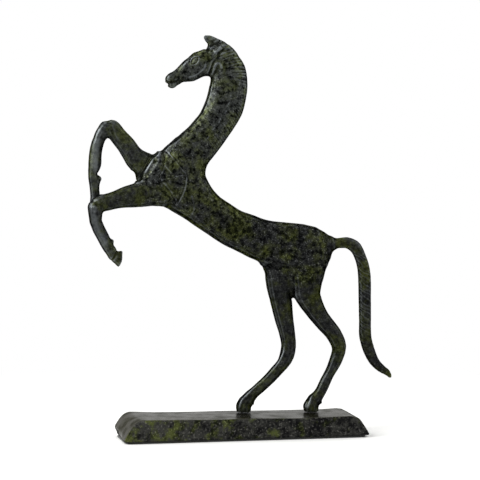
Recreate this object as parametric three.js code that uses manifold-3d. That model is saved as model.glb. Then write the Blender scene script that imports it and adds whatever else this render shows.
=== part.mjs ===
// A rearing horse in patinated bronze on a bar-shaped bronze base.
// The horse is cast in seven sections that are butted, dowelled and brazed together, and its two hind hooves
// are bolted through the base, whose nuts are hidden by a felt pad.
// Millimetres, +Z up. The head points to -X, and -Y is the near side of the horse.
// The origin is the middle of the felt's underside.
import * as THREE from "three";
import { mergeVertices } from "three/addons/utils/BufferGeometryUtils.js";
import Module from "manifold-3d";

const wasm = await Module();
wasm.setup();

// Driving size of the horse: its height from the soles of its hooves to its forelock.
// Its forms, hooves and joints below are drawn for a horse 189.5 high, and follow it at SCALE.
const FIGURE_HEIGHT = 189.5;
const SCALE = FIGURE_HEIGHT / 189.5;

// Base: a bar with upright long faces and a rounded slope at each end. Its top falls towards the tail.
const BASE_LENGTH = 124.6;
const BASE_DEPTH = 32;
const BASE_HEIGHT_HEAD_END = 10.8;
const BASE_HEIGHT_TAIL_END = 9.5;
const BASE_END_RUN = 8.8;
const BASE_END_LAND = 1;
const BASE_END_BULGE = 0.55;

// Felt pad glued under the base.
const FELT_THICKNESS = 1;
const FELT_INSET = 0.8;
const FELT_CORNER_RADIUS = 2;
const GLUE_LINE = 0.1;

// How the sections of the horse meet, and where it stands: how far its middle plane is from the back face of
// the base, and its near hind hoof from the tail end.
const BRAZE_GAP = 0.3;
const SOLE_GAP = 0.3;
const FIGURE_TO_BACK = 10.5;
const HOOF_TO_TAIL_END = 25.3;

// Dowels in the brazed joints.
const DOWEL_CLEARANCE = 0.15;
const DOWEL_END_CLEARANCE = 0.4;
const NECK_DOWEL_DIAMETER = 5;
const NECK_DOWEL_LENGTH = 18;
const FORELEG_DOWEL_DIAMETER = 3;
const FORELEG_DOWEL_LENGTH = 12;
const HIND_DOWEL_DIAMETER = 4;
const HIND_DOWEL_LENGTH = 14;
const TAIL_DOWEL_DIAMETER = 2;
const TAIL_DOWEL_LENGTH = 8;

// Stud, washer and nut under each hind hoof.
const STUD_DIAMETER = 3;
const STUD_IN_HOOF = 4;
const STUD_CLEARANCE = 0.2;
const STUD_PAST_NUT = 0.4;
const WASHER_DIAMETER = 7;
const WASHER_THICKNESS = 0.6;
const NUT_ACROSS_FLATS = 5.5;
const NUT_HEIGHT = 2.4;
const NUT_SIDES = 6;
const FASTENER_GAP = 0.15;
const COUNTERBORE_CLEARANCE = 0.7;

// How finely the forms are faceted.
const RING_SPACING = 3;
const BODY_SIDES = 20;
const LIMB_SIDES = 14;
const ROUND_SIDES = 24;
const END_CURVE_STEPS = 8;
const CORNER_STEPS = 6;
const FEWEST_RINGS = 4;
const DOME_TURNS = [Math.PI / 6, Math.PI / 3];

// How full the oval sections are: 2 is an ellipse, and more is squarer.
const BODY_FULLNESS = 2.6;
const LIMB_FULLNESS = 2.3;

// Hind hooves, each an upright form that ends flat on the base: its place as [x, y], half widths, height
// and lean, and where the fetlock sits above it.
const [NEAR_HOOF_AT, FAR_HOOF_AT] = sized([
  [36.6, -1.5],
  [2.2, 1.5],
]);
const HOOF_TOP_HALF_WIDTH = 3.3 * SCALE;
const HOOF_SOLE_HALF_WIDTH = 3.6 * SCALE;
const HOOF_HEIGHT = 5 * SCALE;
const HOOF_LEAN = 0.6 * SCALE;
const FETLOCK_SETBACK = 1.5 * SCALE;
const FETLOCK_HEIGHT = 5.2 * SCALE;
const FETLOCK_HALF_WIDTH = 3.4 * SCALE;
const FETLOCK_HALF_THICKNESS = 3.3 * SCALE;

// The forms of the horse. A form is an oval section carried along a smooth path, and each row of it is
// [x, z, half width in the plane of the figure, half thickness across it, y].
// x, y and z count from the middle of the base, and z from the soles of the hooves.
const TORSO = sized([
  [-42, 121.6, 9.6, 7.2, 0],
  [-32.5, 115.2, 12.2, 9, 0],
  [-23, 107.5, 11.3, 8.8, 0],
  [-9.7, 97.2, 9.5, 7.6, 0],
  [5.6, 89.2, 9.8, 7.6, 0],
  [19, 84.5, 11.2, 8.1, 0],
  [31, 82.3, 12, 8.4, 0],
  [39.6, 82.6, 10.2, 7.4, 0],
  [46, 83.7, 4.6, 4.4, 0],
]);
const NECK = sized([
  [-31, 119.5, 11, 8.5, 0],
  [-27.3, 129, 11, 8, 0],
  [-16.4, 141.2, 9.5, 7, 0],
  [-8.2, 154, 9.5, 6.3, 0],
  [-5.6, 165, 9.3, 5.7, 0],
  [-6.9, 173.8, 8.9, 5.1, 0],
  [-11.6, 178.7, 8.5, 4.7, 0],
]);
const HEAD = sized([
  [-12.5, 178.2, 7.2, 4.8, 0],
  [-18.9, 175.5, 6.5, 4.9, 0],
  [-24.6, 172.5, 5.8, 4.2, 0],
  [-29.5, 170.1, 4, 3.4, 0],
  [-33.5, 167.1, 3.5, 3.1, 0],
  [-35.3, 166.3, 2.6, 2.6, 0],
]);
const FORELOCK = sized([
  [-10.2, 182.8, 4, 2, 0],
  [-13.6, 186.1, 2.6, 1.6, 0],
  [-16.7, 188.8, 0.8, 0.9, 0],
]);
const NEAR_FOREARM = sized([
  [-36, 114.5, 9, 5.5, -3.5],
  [-46.4, 111.5, 7.5, 5, -4],
  [-56.6, 109.9, 5.6, 4.2, -4.4],
  [-65.8, 107.8, 4.3, 3.7, -4.6],
  [-72.6, 105.9, 4.4, 3.6, -4.6],
]);
const NEAR_CANNON = sized([
  [-73.8, 105, 4.2, 3.5, -4.6],
  [-74, 97.7, 3.05, 3.2, -4.6],
  [-70.7, 90.4, 2.95, 3, -4.5],
  [-67.6, 84.7, 2.85, 2.9, -4.4],
  [-65.2, 81.4, 2.4, 2.7, -4.3],
  [-63.6, 80, 2.2, 2.5, -4.3],
]);
const NEAR_FORE_HOOF = sized([
  [-65.8, 81.4, 2.3, 2.6, -4.3],
  [-63.4, 79.9, 2.9, 2.9, -4.3],
  [-61.9, 79.3, 3.5, 3.2, -4.3],
]);
const FAR_UPPER_ARM = sized([
  [-39.6, 117.4, 7.2, 4.5, 2.5],
  [-48.9, 124.8, 7.2, 4.2, 3.3],
  [-54.7, 131.9, 5.4, 3.8, 3.8],
  [-60.3, 138.5, 4.5, 3.6, 4],
  [-66.2, 143, 4.6, 3.5, 4],
]);
const FAR_CANNON = sized([
  [-67.2, 143.2, 4.5, 3.5, 4],
  [-70.7, 138.5, 3.3, 3.3, 4],
  [-72.4, 130.5, 3.1, 3.1, 3.9],
  [-73.5, 122.5, 2.5, 2.8, 3.7],
  [-72.7, 115.5, 2.3, 2.6, 3.4],
  [-72.9, 110, 2.2, 2.5, 3],
  [-73.4, 104, 2.8, 2.6, 2.6],
]);
const NEAR_HIND_LEG = [
  ...sized([
    [33.8, 77.5, 11, 6, -1.2],
    [34.4, 67.5, 8.6, 5.6, -1.8],
    [34.4, 59.5, 6.9, 5, -2],
    [37.6, 52.8, 5.5, 4.5, -2],
    [43.4, 44.7, 4.6, 4.1, -1.9],
    [48.6, 37.7, 4.2, 3.9, -1.8],
    [51, 31.7, 3.7, 3.6, -1.7],
    [49, 24.8, 3.15, 3.2, -1.6],
    [44.8, 16.4, 2.75, 2.9, -1.5],
    [41.2, 9.5, 2.8, 2.9, -1.5],
  ]),
  fetlock(NEAR_HOOF_AT),
];
const FAR_HIND_LEG = [
  ...sized([
    [22.5, 77.5, 9, 5.8, 1.2],
    [20.6, 67.5, 7.3, 5.2, 1.8],
    [21.5, 57.5, 5.9, 4.7, 2],
    [23, 48.5, 4.8, 4.2, 2],
    [24.9, 40, 4.1, 3.8, 1.9],
    [25.6, 32.5, 3.75, 3.6, 1.8],
    [24, 26.4, 3.75, 3.5, 1.7],
    [18.9, 20.3, 3.15, 3.1, 1.6],
    [11.7, 13.2, 2.9, 2.9, 1.5],
    [6.9, 9.2, 2.95, 2.9, 1.5],
  ]),
  fetlock(FAR_HOOF_AT),
];
const TAIL = sized([
  [43.5, 84, 3.8, 3.5, 0],
  [51.3, 85, 2.4, 2.2, 0],
  [55.8, 84.8, 2.5, 2.2, 0],
  [60, 81.6, 2.85, 2.3, 0],
  [63, 75, 3.05, 2.4, 0],
  [64.4, 65.5, 3.3, 2.5, 0],
  [64.7, 54.5, 3.2, 2.5, 0],
  [64.8, 42.5, 3, 2.4, 0],
  [65.9, 33.5, 3.05, 2.3, 0],
  [69.3, 25.7, 2.9, 2.1, 0],
  [74, 20.4, 2.2, 1.7, 0],
  [78, 17.2, 0.95, 0.9, 0],
]);

// Ergots: the small points behind the fetlocks, as [x, z, y, radius] on the forelegs, and set out from the
// middle of the hoof on the hind legs.
const [NEAR_FORE_ERGOT, FAR_FORE_ERGOT] = sized([
  [-66.3, 87.3, -4.4, 1.4],
  [-71.1, 118.6, 3.5, 1.6],
]);
const HIND_ERGOT_SETBACK = 4.15 * SCALE;
const HIND_ERGOT_HEIGHT = 4.45 * SCALE;
const HIND_ERGOT_RADIUS = 1.3 * SCALE;

// Where each limb is parted from the torso: a point on the joint, and the direction of the limb from there.
const NECK_JOINT = jointAt([-23.6, 0, 133.4], [0.6, 0, 0.8]);
const NEAR_FORELEG_JOINT = jointAt([-53, -4.3, 110.6], [-0.98, 0, -0.2]);
const FAR_FORELEG_JOINT = jointAt([-51, 3.5, 127.5], [-0.7, 0, 0.7]);
const NEAR_HIND_JOINT = jointAt([35.2, -2, 58.5], [0.15, 0, -0.99]);
const FAR_HIND_JOINT = jointAt([20.8, 2, 57.3], [0.12, 0, -0.99]);
const TAIL_JOINT = jointAt([50, 0, 85], [1, 0, 0]);

// Working sizes: a block larger than the horse, and how near two corners are to be one.
const CUTTER_SIZE = 400;
const WELD_DISTANCE = 1e-4;

// Places and heights that follow from the sizes above.
const FIGURE_SHIFT = BASE_LENGTH / 2 - HOOF_TO_TAIL_END - NEAR_HOOF_AT[0];
const FIGURE_SETBACK = BASE_DEPTH / 2 - FIGURE_TO_BACK;
const BASE_BOTTOM = FELT_THICKNESS + GLUE_LINE;
const NUT_BOTTOM = BASE_BOTTOM + STUD_PAST_NUT;
const COUNTERBORE_DEPTH = STUD_PAST_NUT + NUT_HEIGHT + WASHER_THICKNESS + 2 * FASTENER_GAP;

/** Height of the base's top above its underside, at a distance x from its middle. */
function baseHeight(x) {
  return THREE.MathUtils.mapLinear(
    x,
    -BASE_LENGTH / 2,
    BASE_LENGTH / 2,
    BASE_HEIGHT_HEAD_END,
    BASE_HEIGHT_TAIL_END,
  );
}

const SOLE_HEIGHT = BASE_BOTTOM + baseHeight(0) + SOLE_GAP;

/** Drawn rows at the figure's own height. */
function sized(rows) {
  return rows.map((row) => row.map((value) => value * SCALE));
}

/** The lowest row of a hind leg: its fetlock, set back over its hoof. */
function fetlock([x, y]) {
  return [x + FETLOCK_SETBACK, FETLOCK_HEIGHT, FETLOCK_HALF_WIDTH, FETLOCK_HALF_THICKNESS, y];
}

/** A drawn joint at the figure's own height. */
function jointAt(at, along) {
  return { at: at.map((value) => value * SCALE), along };
}

// Solids

/** A closed geometry as a solid that can be cut and joined. */
function solid(geometry) {
  const bare = geometry.clone();
  bare.deleteAttribute("normal");
  bare.deleteAttribute("uv");
  const merged = mergeVertices(bare, WELD_DISTANCE);
  return new wasm.Manifold(
    new wasm.Mesh({
      numProp: 3,
      vertProperties: new Float32Array(merged.attributes.position.array),
      triVerts: new Uint32Array(merged.index.array),
    }),
  );
}

/** A solid as a geometry for a mesh. */
function geometryOf(shape) {
  const { numVert, numProp, vertProperties, triVerts } = shape.getMesh();
  const positions = new Float32Array(numVert * 3);
  for (let i = 0; i < numVert; i++) {
    positions.set(vertProperties.subarray(i * numProp, i * numProp + 3), i * 3);
  }
  const geometry = new THREE.BufferGeometry();
  geometry.setAttribute("position", new THREE.BufferAttribute(positions, 3));
  geometry.setIndex(new THREE.BufferAttribute(new Uint32Array(triVerts), 1));
  geometry.computeVertexNormals();
  return geometry;
}

/** The sum of several solids. */
function join(...shapes) {
  return shapes.reduce((sum, shape) => sum.add(shape));
}

/** A cosine or sine drawn towards the corners of its oval, by the oval's fullness. */
function fuller(value, fullness) {
  return Math.sign(value) * Math.abs(value) ** (2 / fullness);
}

/**
 * An oval section carried along a smooth path through the rows of a form, with domed or flat ends.
 * The section stands square to the path, its width in the plane of the figure and its thickness along Y.
 */
function form(rows, { sides = LIMB_SIDES, fullness = LIMB_FULLNESS, grow = 0, flatEnd = false } = {}) {
  const path = new THREE.CatmullRomCurve3(rows.map(([x, z, , , y]) => new THREE.Vector3(x, y, z)));
  const sizes = new THREE.CatmullRomCurve3(rows.map(([, , w, t]) => new THREE.Vector3(w, t, 0)));
  const steps = Math.max(FEWEST_RINGS, Math.ceil(path.getLength() / RING_SPACING));
  const positions = [];
  const addRing = (u, scale, lift) => {
    const centre = path.getPoint(u);
    const tangent = path.getTangent(u);
    const size = sizes.getPoint(u);
    const across = new THREE.Vector3(tangent.z, 0, -tangent.x).normalize();
    centre.addScaledVector(tangent, lift * (Math.min(size.x, size.y) + grow));
    for (let k = 0; k < sides; k++) {
      const turn = (2 * Math.PI * k) / sides;
      const wide = scale * (size.x + grow) * fuller(Math.cos(turn), fullness);
      const thick = scale * (size.y + grow) * fuller(Math.sin(turn), fullness);
      positions.push(centre.x + across.x * wide, centre.y + thick, centre.z + across.z * wide);
    }
  };
  const addPole = (u, lift) => {
    const size = sizes.getPoint(u);
    const reach = lift * (Math.min(size.x, size.y) + grow);
    positions.push(...path.getPoint(u).addScaledVector(path.getTangent(u), reach).toArray());
  };

  addPole(0, -1);
  DOME_TURNS.forEach((turn) => addRing(0, Math.sin(turn), -Math.cos(turn)));
  for (let i = 0; i <= steps; i++) addRing(i / steps, 1, 0);
  if (!flatEnd) DOME_TURNS.toReversed().forEach((turn) => addRing(1, Math.sin(turn), Math.cos(turn)));
  addPole(1, flatEnd ? 0 : 1);

  const last = positions.length / 3 - 1;
  const rings = (last - 1) / sides;
  const at = (ring, k) => 1 + ring * sides + (k % sides);
  const index = [];
  for (let k = 0; k < sides; k++) {
    index.push(0, at(0, k + 1), at(0, k));
    for (let ring = 0; ring < rings - 1; ring++) {
      index.push(at(ring, k), at(ring, k + 1), at(ring + 1, k + 1));
      index.push(at(ring, k), at(ring + 1, k + 1), at(ring + 1, k));
    }
    index.push(last, at(rings - 1, k), at(rings - 1, k + 1));
  }
  const geometry = new THREE.BufferGeometry();
  geometry.setAttribute("position", new THREE.Float32BufferAttribute(positions, 3));
  geometry.setIndex(index);
  return solid(geometry);
}

/** A round bar of a radius and length whose middle is at a point, with its axis along a direction. */
function bar(radius, length, at, along) {
  const geometry = new THREE.CylinderGeometry(radius, radius, length, ROUND_SIDES);
  const direction = new THREE.Vector3(...along).normalize();
  geometry.applyQuaternion(new THREE.Quaternion().setFromUnitVectors(THREE.Object3D.DEFAULT_UP, direction));
  return solid(geometry.translate(...at));
}

/** An upright round bar from one height to another. */
function uprightBar(radius, x, y, bottom, top) {
  return bar(radius, top - bottom, [x, y, (bottom + top) / 2], [0, 0, 1]);
}

/** Everything on the limb's side of a joint, from a little way along the limb. */
function beyond({ at, along }, offset) {
  const direction = new THREE.Vector3(...along).normalize();
  const block = new THREE.BoxGeometry(CUTTER_SIZE, CUTTER_SIZE, CUTTER_SIZE);
  block.translate(0, CUTTER_SIZE / 2 + offset, 0);
  block.applyQuaternion(new THREE.Quaternion().setFromUnitVectors(THREE.Object3D.DEFAULT_UP, direction));
  return solid(block.translate(...at));
}

/** A small rounded point on a leg. */
function ergot([x, z, y, radius]) {
  return solid(new THREE.SphereGeometry(radius, LIMB_SIDES, LIMB_SIDES / 2).translate(x, y, z));
}

/** The dowel of a joint, and the longer and wider hole that it sits in. */
function dowel({ at, along }, diameter, length) {
  return {
    pin: bar(diameter / 2, length, at, along),
    hole: bar(diameter / 2 + DOWEL_CLEARANCE, length + 2 * DOWEL_END_CLEARANCE, at, along),
  };
}

// Sections of the horse

/** Height of a hoof's sole where it stands, which follows the base's slope. */
function soleAt([x]) {
  return baseHeight(x + FIGURE_SHIFT) - baseHeight(0);
}

/** Where a hoof's stud stands: under the pastern, a little behind the middle of the hoof. */
function studAt([x, y]) {
  return [x + HOOF_LEAN, y];
}

/** A hind hoof, from the pastern down to its sole. */
function hindHoof([x, y]) {
  const sole = soleAt([x, y]);
  return form(
    [
      [x + HOOF_LEAN, sole + HOOF_HEIGHT, HOOF_TOP_HALF_WIDTH, HOOF_TOP_HALF_WIDTH, y],
      [x, sole + HOOF_HEIGHT / 2, HOOF_SOLE_HALF_WIDTH, HOOF_SOLE_HALF_WIDTH, y],
      [x, sole, HOOF_SOLE_HALF_WIDTH, HOOF_SOLE_HALF_WIDTH, y],
    ],
    { flatEnd: true },
  );
}

/** Where the ergot behind a hind hoof is, and its radius. */
function hindErgot([x, y]) {
  return [x + HIND_ERGOT_SETBACK, HIND_ERGOT_HEIGHT, y, HIND_ERGOT_RADIUS];
}

/** The hole for the stud that holds a hind hoof. */
function studHole(place) {
  const sole = soleAt(place);
  const radius = STUD_DIAMETER / 2 + STUD_CLEARANCE;
  return uprightBar(radius, ...studAt(place), sole - SOLE_GAP, sole + STUD_IN_HOOF + DOWEL_END_CLEARANCE);
}

/** Everything below the sole of a hoof. */
function underSole(place) {
  return beyond({ at: [0, 0, soleAt(place)], along: [0, 0, -1] }, 0);
}

const bodyForm = { sides: BODY_SIDES, fullness: BODY_FULLNESS };

/** Each limb: the form that runs into the torso, what is joined on further out, and what is cut away. */
const LIMBS = {
  neck_and_head: {
    joint: NECK_JOINT,
    root: form(NECK, bodyForm),
    rest: [form(HEAD, bodyForm), form(FORELOCK)],
    cuts: [],
    dowel: [NECK_DOWEL_DIAMETER, NECK_DOWEL_LENGTH],
    dowelName: "neck_dowel",
  },
  near_foreleg: {
    joint: NEAR_FORELEG_JOINT,
    root: form(NEAR_FOREARM),
    rest: [form(NEAR_CANNON), form(NEAR_FORE_HOOF, { flatEnd: true }), ergot(NEAR_FORE_ERGOT)],
    cuts: [],
    dowel: [FORELEG_DOWEL_DIAMETER, FORELEG_DOWEL_LENGTH],
    dowelName: "near_foreleg_dowel",
  },
  far_foreleg: {
    joint: FAR_FORELEG_JOINT,
    root: form(FAR_UPPER_ARM),
    rest: [form(FAR_CANNON), ergot(FAR_FORE_ERGOT)],
    cuts: [],
    dowel: [FORELEG_DOWEL_DIAMETER, FORELEG_DOWEL_LENGTH],
    dowelName: "far_foreleg_dowel",
  },
  near_hind_leg: {
    joint: NEAR_HIND_JOINT,
    root: form(NEAR_HIND_LEG),
    rest: [hindHoof(NEAR_HOOF_AT), ergot(hindErgot(NEAR_HOOF_AT))],
    cuts: [studHole(NEAR_HOOF_AT), underSole(NEAR_HOOF_AT)],
    dowel: [HIND_DOWEL_DIAMETER, HIND_DOWEL_LENGTH],
    dowelName: "near_hind_dowel",
  },
  far_hind_leg: {
    joint: FAR_HIND_JOINT,
    root: form(FAR_HIND_LEG),
    rest: [hindHoof(FAR_HOOF_AT), ergot(hindErgot(FAR_HOOF_AT))],
    cuts: [studHole(FAR_HOOF_AT), underSole(FAR_HOOF_AT)],
    dowel: [HIND_DOWEL_DIAMETER, HIND_DOWEL_LENGTH],
    dowelName: "far_hind_dowel",
  },
  tail: {
    joint: TAIL_JOINT,
    root: form(TAIL),
    rest: [],
    cuts: [],
    dowel: [TAIL_DOWEL_DIAMETER, TAIL_DOWEL_LENGTH],
    dowelName: "tail_dowel",
  },
};

// Base, felt and fasteners

/** The base's outline seen from the near side, from its underside up. */
function baseOutline() {
  const half = BASE_LENGTH / 2;
  const crest = half - BASE_END_RUN;
  const bulge = crest + BASE_END_RUN * BASE_END_BULGE;
  const headCrestHeight = baseHeight(-crest);
  const tailCrestHeight = baseHeight(crest);
  const outline = new THREE.Shape();
  outline.moveTo(-half, 0);
  outline.lineTo(half, 0);
  outline.lineTo(half, BASE_END_LAND);
  outline.quadraticCurveTo(bulge, tailCrestHeight - BASE_END_LAND, crest, tailCrestHeight);
  outline.lineTo(-crest, headCrestHeight);
  outline.quadraticCurveTo(-bulge, headCrestHeight - BASE_END_LAND, -half, BASE_END_LAND);
  outline.closePath();
  return outline;
}

/** The base, drilled for both studs and counterbored from below for their washers and nuts. */
function base() {
  const blank = new THREE.ExtrudeGeometry(baseOutline(), {
    depth: BASE_DEPTH,
    bevelEnabled: false,
    curveSegments: END_CURVE_STEPS,
  });
  blank.rotateX(Math.PI / 2).translate(0, BASE_DEPTH / 2, BASE_BOTTOM);
  const counterboreRadius = WASHER_DIAMETER / 2 + COUNTERBORE_CLEARANCE;
  const through = BASE_BOTTOM + Math.max(BASE_HEIGHT_HEAD_END, BASE_HEIGHT_TAIL_END) + SOLE_GAP;
  return [NEAR_HOOF_AT, FAR_HOOF_AT].reduce((bored, hoof) => {
    const [x, y] = studAt(hoof);
    const place = [x + FIGURE_SHIFT, y + FIGURE_SETBACK];
    const drill = uprightBar(STUD_DIAMETER / 2 + STUD_CLEARANCE, ...place, 0, through);
    const counterbore = uprightBar(counterboreRadius, ...place, 0, BASE_BOTTOM + COUNTERBORE_DEPTH);
    return bored.subtract(drill).subtract(counterbore);
  }, solid(blank));
}

/** The felt pad, a thin rectangle with rounded corners. */
function felt() {
  const x = BASE_LENGTH / 2 - FELT_INSET;
  const y = BASE_DEPTH / 2 - FELT_INSET;
  const r = FELT_CORNER_RADIUS;
  const outline = new THREE.Shape();
  outline.moveTo(-x + r, -y);
  outline.absarc(x - r, -y + r, r, -Math.PI / 2, 0);
  outline.absarc(x - r, y - r, r, 0, Math.PI / 2);
  outline.absarc(-x + r, y - r, r, Math.PI / 2, Math.PI);
  outline.absarc(-x + r, -y + r, r, Math.PI, 1.5 * Math.PI);
  const options = { depth: FELT_THICKNESS, bevelEnabled: false, curveSegments: CORNER_STEPS };
  return solid(new THREE.ExtrudeGeometry(outline, options));
}

/** A flat ring round a stud: a washer if its outline is a circle, or a nut if it has flat sides. */
function ring(outline, thickness) {
  const hole = new THREE.Path().absarc(0, 0, STUD_DIAMETER / 2 + FASTENER_GAP, 0, 2 * Math.PI, true);
  outline.holes.push(hole);
  const options = { depth: thickness, bevelEnabled: false, curveSegments: ROUND_SIDES / 2 };
  return new THREE.ExtrudeGeometry(outline, options);
}

/** A washer seen from above. */
function washerOutline() {
  return new THREE.Shape().absarc(0, 0, WASHER_DIAMETER / 2, 0, 2 * Math.PI);
}

/** A nut seen from above. */
function nutOutline() {
  const corner = NUT_ACROSS_FLATS / Math.sqrt(3);
  const corners = Array.from({ length: NUT_SIDES }, (_, i) => {
    const turn = (2 * Math.PI * i) / NUT_SIDES;
    return new THREE.Vector2(corner * Math.cos(turn), corner * Math.sin(turn));
  });
  return new THREE.Shape(corners);
}

// Finishes

const BRONZE = { color: 0x34362a, roughness: 0.45, metalness: 0.8 };
const POLISHED_BRONZE = { color: 0x4a483f, roughness: 0.35, metalness: 0.85 };
const STEEL = { color: 0x9a9da0, roughness: 0.35, metalness: 0.9 };
const FELT = { color: 0x1f2620, roughness: 0.95, metalness: 0 };

/** A named mesh of a solid, with a material of its own. */
function piece(name, shape, finish) {
  const mesh = new THREE.Mesh(geometryOf(shape), new THREE.MeshStandardMaterial(finish));
  mesh.name = name;
  return mesh;
}

// Assembly

const horse = new THREE.Group();
horse.position.set(FIGURE_SHIFT, FIGURE_SETBACK, SOLE_HEIGHT);

const torsoRoom = form(TORSO, { ...bodyForm, grow: BRAZE_GAP });
let torso = form(TORSO, bodyForm);
for (const { joint, root } of Object.values(LIMBS)) {
  torso = torso.add(root.subtract(beyond(joint, -BRAZE_GAP / 2)));
}
for (const [name, { joint, root, rest, cuts, dowel: size, dowelName }] of Object.entries(LIMBS)) {
  const { pin, hole } = dowel(joint, ...size);
  const outer = join(root.intersect(beyond(joint, BRAZE_GAP / 2)).subtract(torsoRoom), ...rest);
  const limb = cuts.reduce((shape, cut) => shape.subtract(cut), outer.subtract(hole));
  torso = torso.subtract(hole);
  horse.add(piece(`${name}_casting`, limb, BRONZE), piece(dowelName, pin, STEEL));
}
horse.add(piece("torso_casting", torso, BRONZE));

const fasteners = new THREE.Group();
for (const [side, hoof] of Object.entries({ near: NEAR_HOOF_AT, far: FAR_HOOF_AT })) {
  const [x, y] = studAt(hoof);
  const nut = ring(nutOutline(), NUT_HEIGHT);
  const washer = ring(washerOutline(), WASHER_THICKNESS).translate(0, 0, NUT_HEIGHT + FASTENER_GAP);
  const studTop = SOLE_HEIGHT + soleAt(hoof) + STUD_IN_HOOF - NUT_BOTTOM;
  const stud = uprightBar(STUD_DIAMETER / 2, 0, 0, -STUD_PAST_NUT / 2, studTop);
  const set = new THREE.Group();
  set.position.set(x + FIGURE_SHIFT, y + FIGURE_SETBACK, NUT_BOTTOM);
  set.add(
    piece(`${side}_hoof_nut`, solid(nut), STEEL),
    piece(`${side}_hoof_washer`, solid(washer), STEEL),
    piece(`${side}_hoof_stud`, stud, STEEL),
  );
  fasteners.add(set);
}

const sculpture = new THREE.Group();
sculpture.add(horse, fasteners);
sculpture.add(piece("base_casting", base(), POLISHED_BRONZE), piece("felt_pad", felt(), FELT));

export default sculpture;
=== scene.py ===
"""Looks of a rearing horse in patinated bronze on a bar-shaped bronze base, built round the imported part.

Each casting gets a skin: a copy of its CAD solid is joined to its neighbours, grown, remeshed, evened out and
shrunk back, chased with height fields, and cut at the brazed joint, so that the joints do not show.
Points are metres in the part's frame. Drawn places, such as those of the eye or the mane, are millimetres
[x, z] in the plane of the figure. The head points to -X, and -Y is the near side of the horse.
"""

import logging
from dataclasses import dataclass, field
from enum import Enum
from typing import Any, ClassVar, Protocol

import bmesh
import bpy
import numpy as np
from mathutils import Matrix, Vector


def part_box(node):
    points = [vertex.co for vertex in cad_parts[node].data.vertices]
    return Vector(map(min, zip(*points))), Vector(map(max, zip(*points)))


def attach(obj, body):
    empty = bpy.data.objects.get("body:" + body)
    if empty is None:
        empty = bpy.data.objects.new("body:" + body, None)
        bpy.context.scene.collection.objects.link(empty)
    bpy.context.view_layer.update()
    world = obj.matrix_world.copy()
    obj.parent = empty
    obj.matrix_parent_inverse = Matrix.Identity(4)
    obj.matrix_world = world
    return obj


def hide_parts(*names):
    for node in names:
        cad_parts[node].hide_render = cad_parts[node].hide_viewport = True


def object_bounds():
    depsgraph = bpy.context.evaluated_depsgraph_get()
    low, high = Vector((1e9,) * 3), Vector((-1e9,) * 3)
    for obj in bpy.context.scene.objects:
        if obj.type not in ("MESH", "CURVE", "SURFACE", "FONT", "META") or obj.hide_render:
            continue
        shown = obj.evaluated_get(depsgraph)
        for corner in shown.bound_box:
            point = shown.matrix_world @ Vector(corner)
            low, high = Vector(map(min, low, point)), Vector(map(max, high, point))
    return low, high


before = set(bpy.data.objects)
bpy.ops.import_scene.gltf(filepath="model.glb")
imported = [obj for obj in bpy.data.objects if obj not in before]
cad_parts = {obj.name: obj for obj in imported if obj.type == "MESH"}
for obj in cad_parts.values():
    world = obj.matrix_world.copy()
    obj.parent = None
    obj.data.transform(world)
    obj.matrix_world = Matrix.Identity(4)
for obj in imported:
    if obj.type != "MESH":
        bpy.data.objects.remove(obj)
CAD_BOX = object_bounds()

Array = np.ndarray
Path = tuple[tuple[float, float], ...]
Range = dict[int, float]
LOG = logging.getLogger("horse")
MM = 0.001

# What is noted on a skin for its material: rubbed ridges, dark cuts and painted highlights on the bevels,
# handled parts, and polished faces, where the left end's satin is painted light
WEAR_AND_SHEEN = "wear_and_sheen"
HANDLED = "handled"
POLISH_AND_LIGHT = "polish_and_light"

# The plane between the near and the far limbs, in millimetres
MID_PLANE = 5.5

# How much of a casting stays on both sides of a joint until the joint is cut
STUB = 4 * MM

# Points that are closer than this are one
WELD = MM / 1000


class Flank(Enum):
    """Which side of the figure a relief is cut on, as the sign of the surface's y direction."""

    NEAR = -1
    FAR = 1
    BOTH = 0


class Wax(Enum):
    """What a dab of wax does: fill an inner corner, or even out the depth on both flanks."""

    FILL = "fill"
    EVEN = "even"


# Numbers and curves


def linear(colour: str) -> tuple[float, float, float, float]:
    """Turn an sRGB hex colour into the linear one that a shader takes.

    Args:
        colour: The colour as "#rrggbb".

    Returns:
        Red, green, blue and an alpha of 1.
    """
    channels = np.array([int(colour[i : i + 2], 16) for i in (1, 3, 5)]) / 255
    values = np.where(channels <= 0.04045, channels / 12.92, ((channels + 0.055) / 1.055) ** 2.4)
    return (*values.tolist(), 1.0)


def ramp(value: Array, low: float, high: float) -> Array:
    """Rise smoothly from 0 at low to 1 at high.

    Args:
        value: The numbers to map.
        low: Where the rise starts.
        high: Where it ends, which may be below low for a fall.

    Returns:
        Three times the square of the share of the way, less twice its cube.
    """
    share = np.clip((value - low) / (high - low), 0, 1)
    return share * share * (3 - 2 * share)


def bell(value: Array, width: float) -> Array:
    """A bell that is 1 at zero and falls off over a width: e to the minus square of value over width."""
    return np.exp(-((value / width) ** 2))


def curve_through(points: Path, steps: int = 6) -> Array:
    """A smooth line through drawn points: a cubic on each span, with slopes set by the span's neighbours.

    Args:
        points: The drawn points.
        steps: How many parts each span is drawn in.

    Returns:
        The line's points, one row each.
    """
    drawn = np.array(points, float)
    if len(drawn) < 3:
        return drawn
    padded = np.vstack([2 * drawn[0] - drawn[1], drawn, 2 * drawn[-1] - drawn[-2]])
    before, start, end, after = padded[:-3], padded[1:-2], padded[2:-1], padded[3:]
    t = np.linspace(0, 1, steps, endpoint=False)[None, :, None]
    a, b, c, d = (row[:, None, :] for row in (before, start, end, after))
    spans = 0.5 * (
        2 * b + (c - a) * t + (2 * a - 5 * b + 4 * c - d) * t**2 + (3 * b - a - 3 * c + d) * t**3
    )
    return np.vstack([spans.reshape(-1, drawn.shape[1]), drawn[-1:]])


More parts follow.
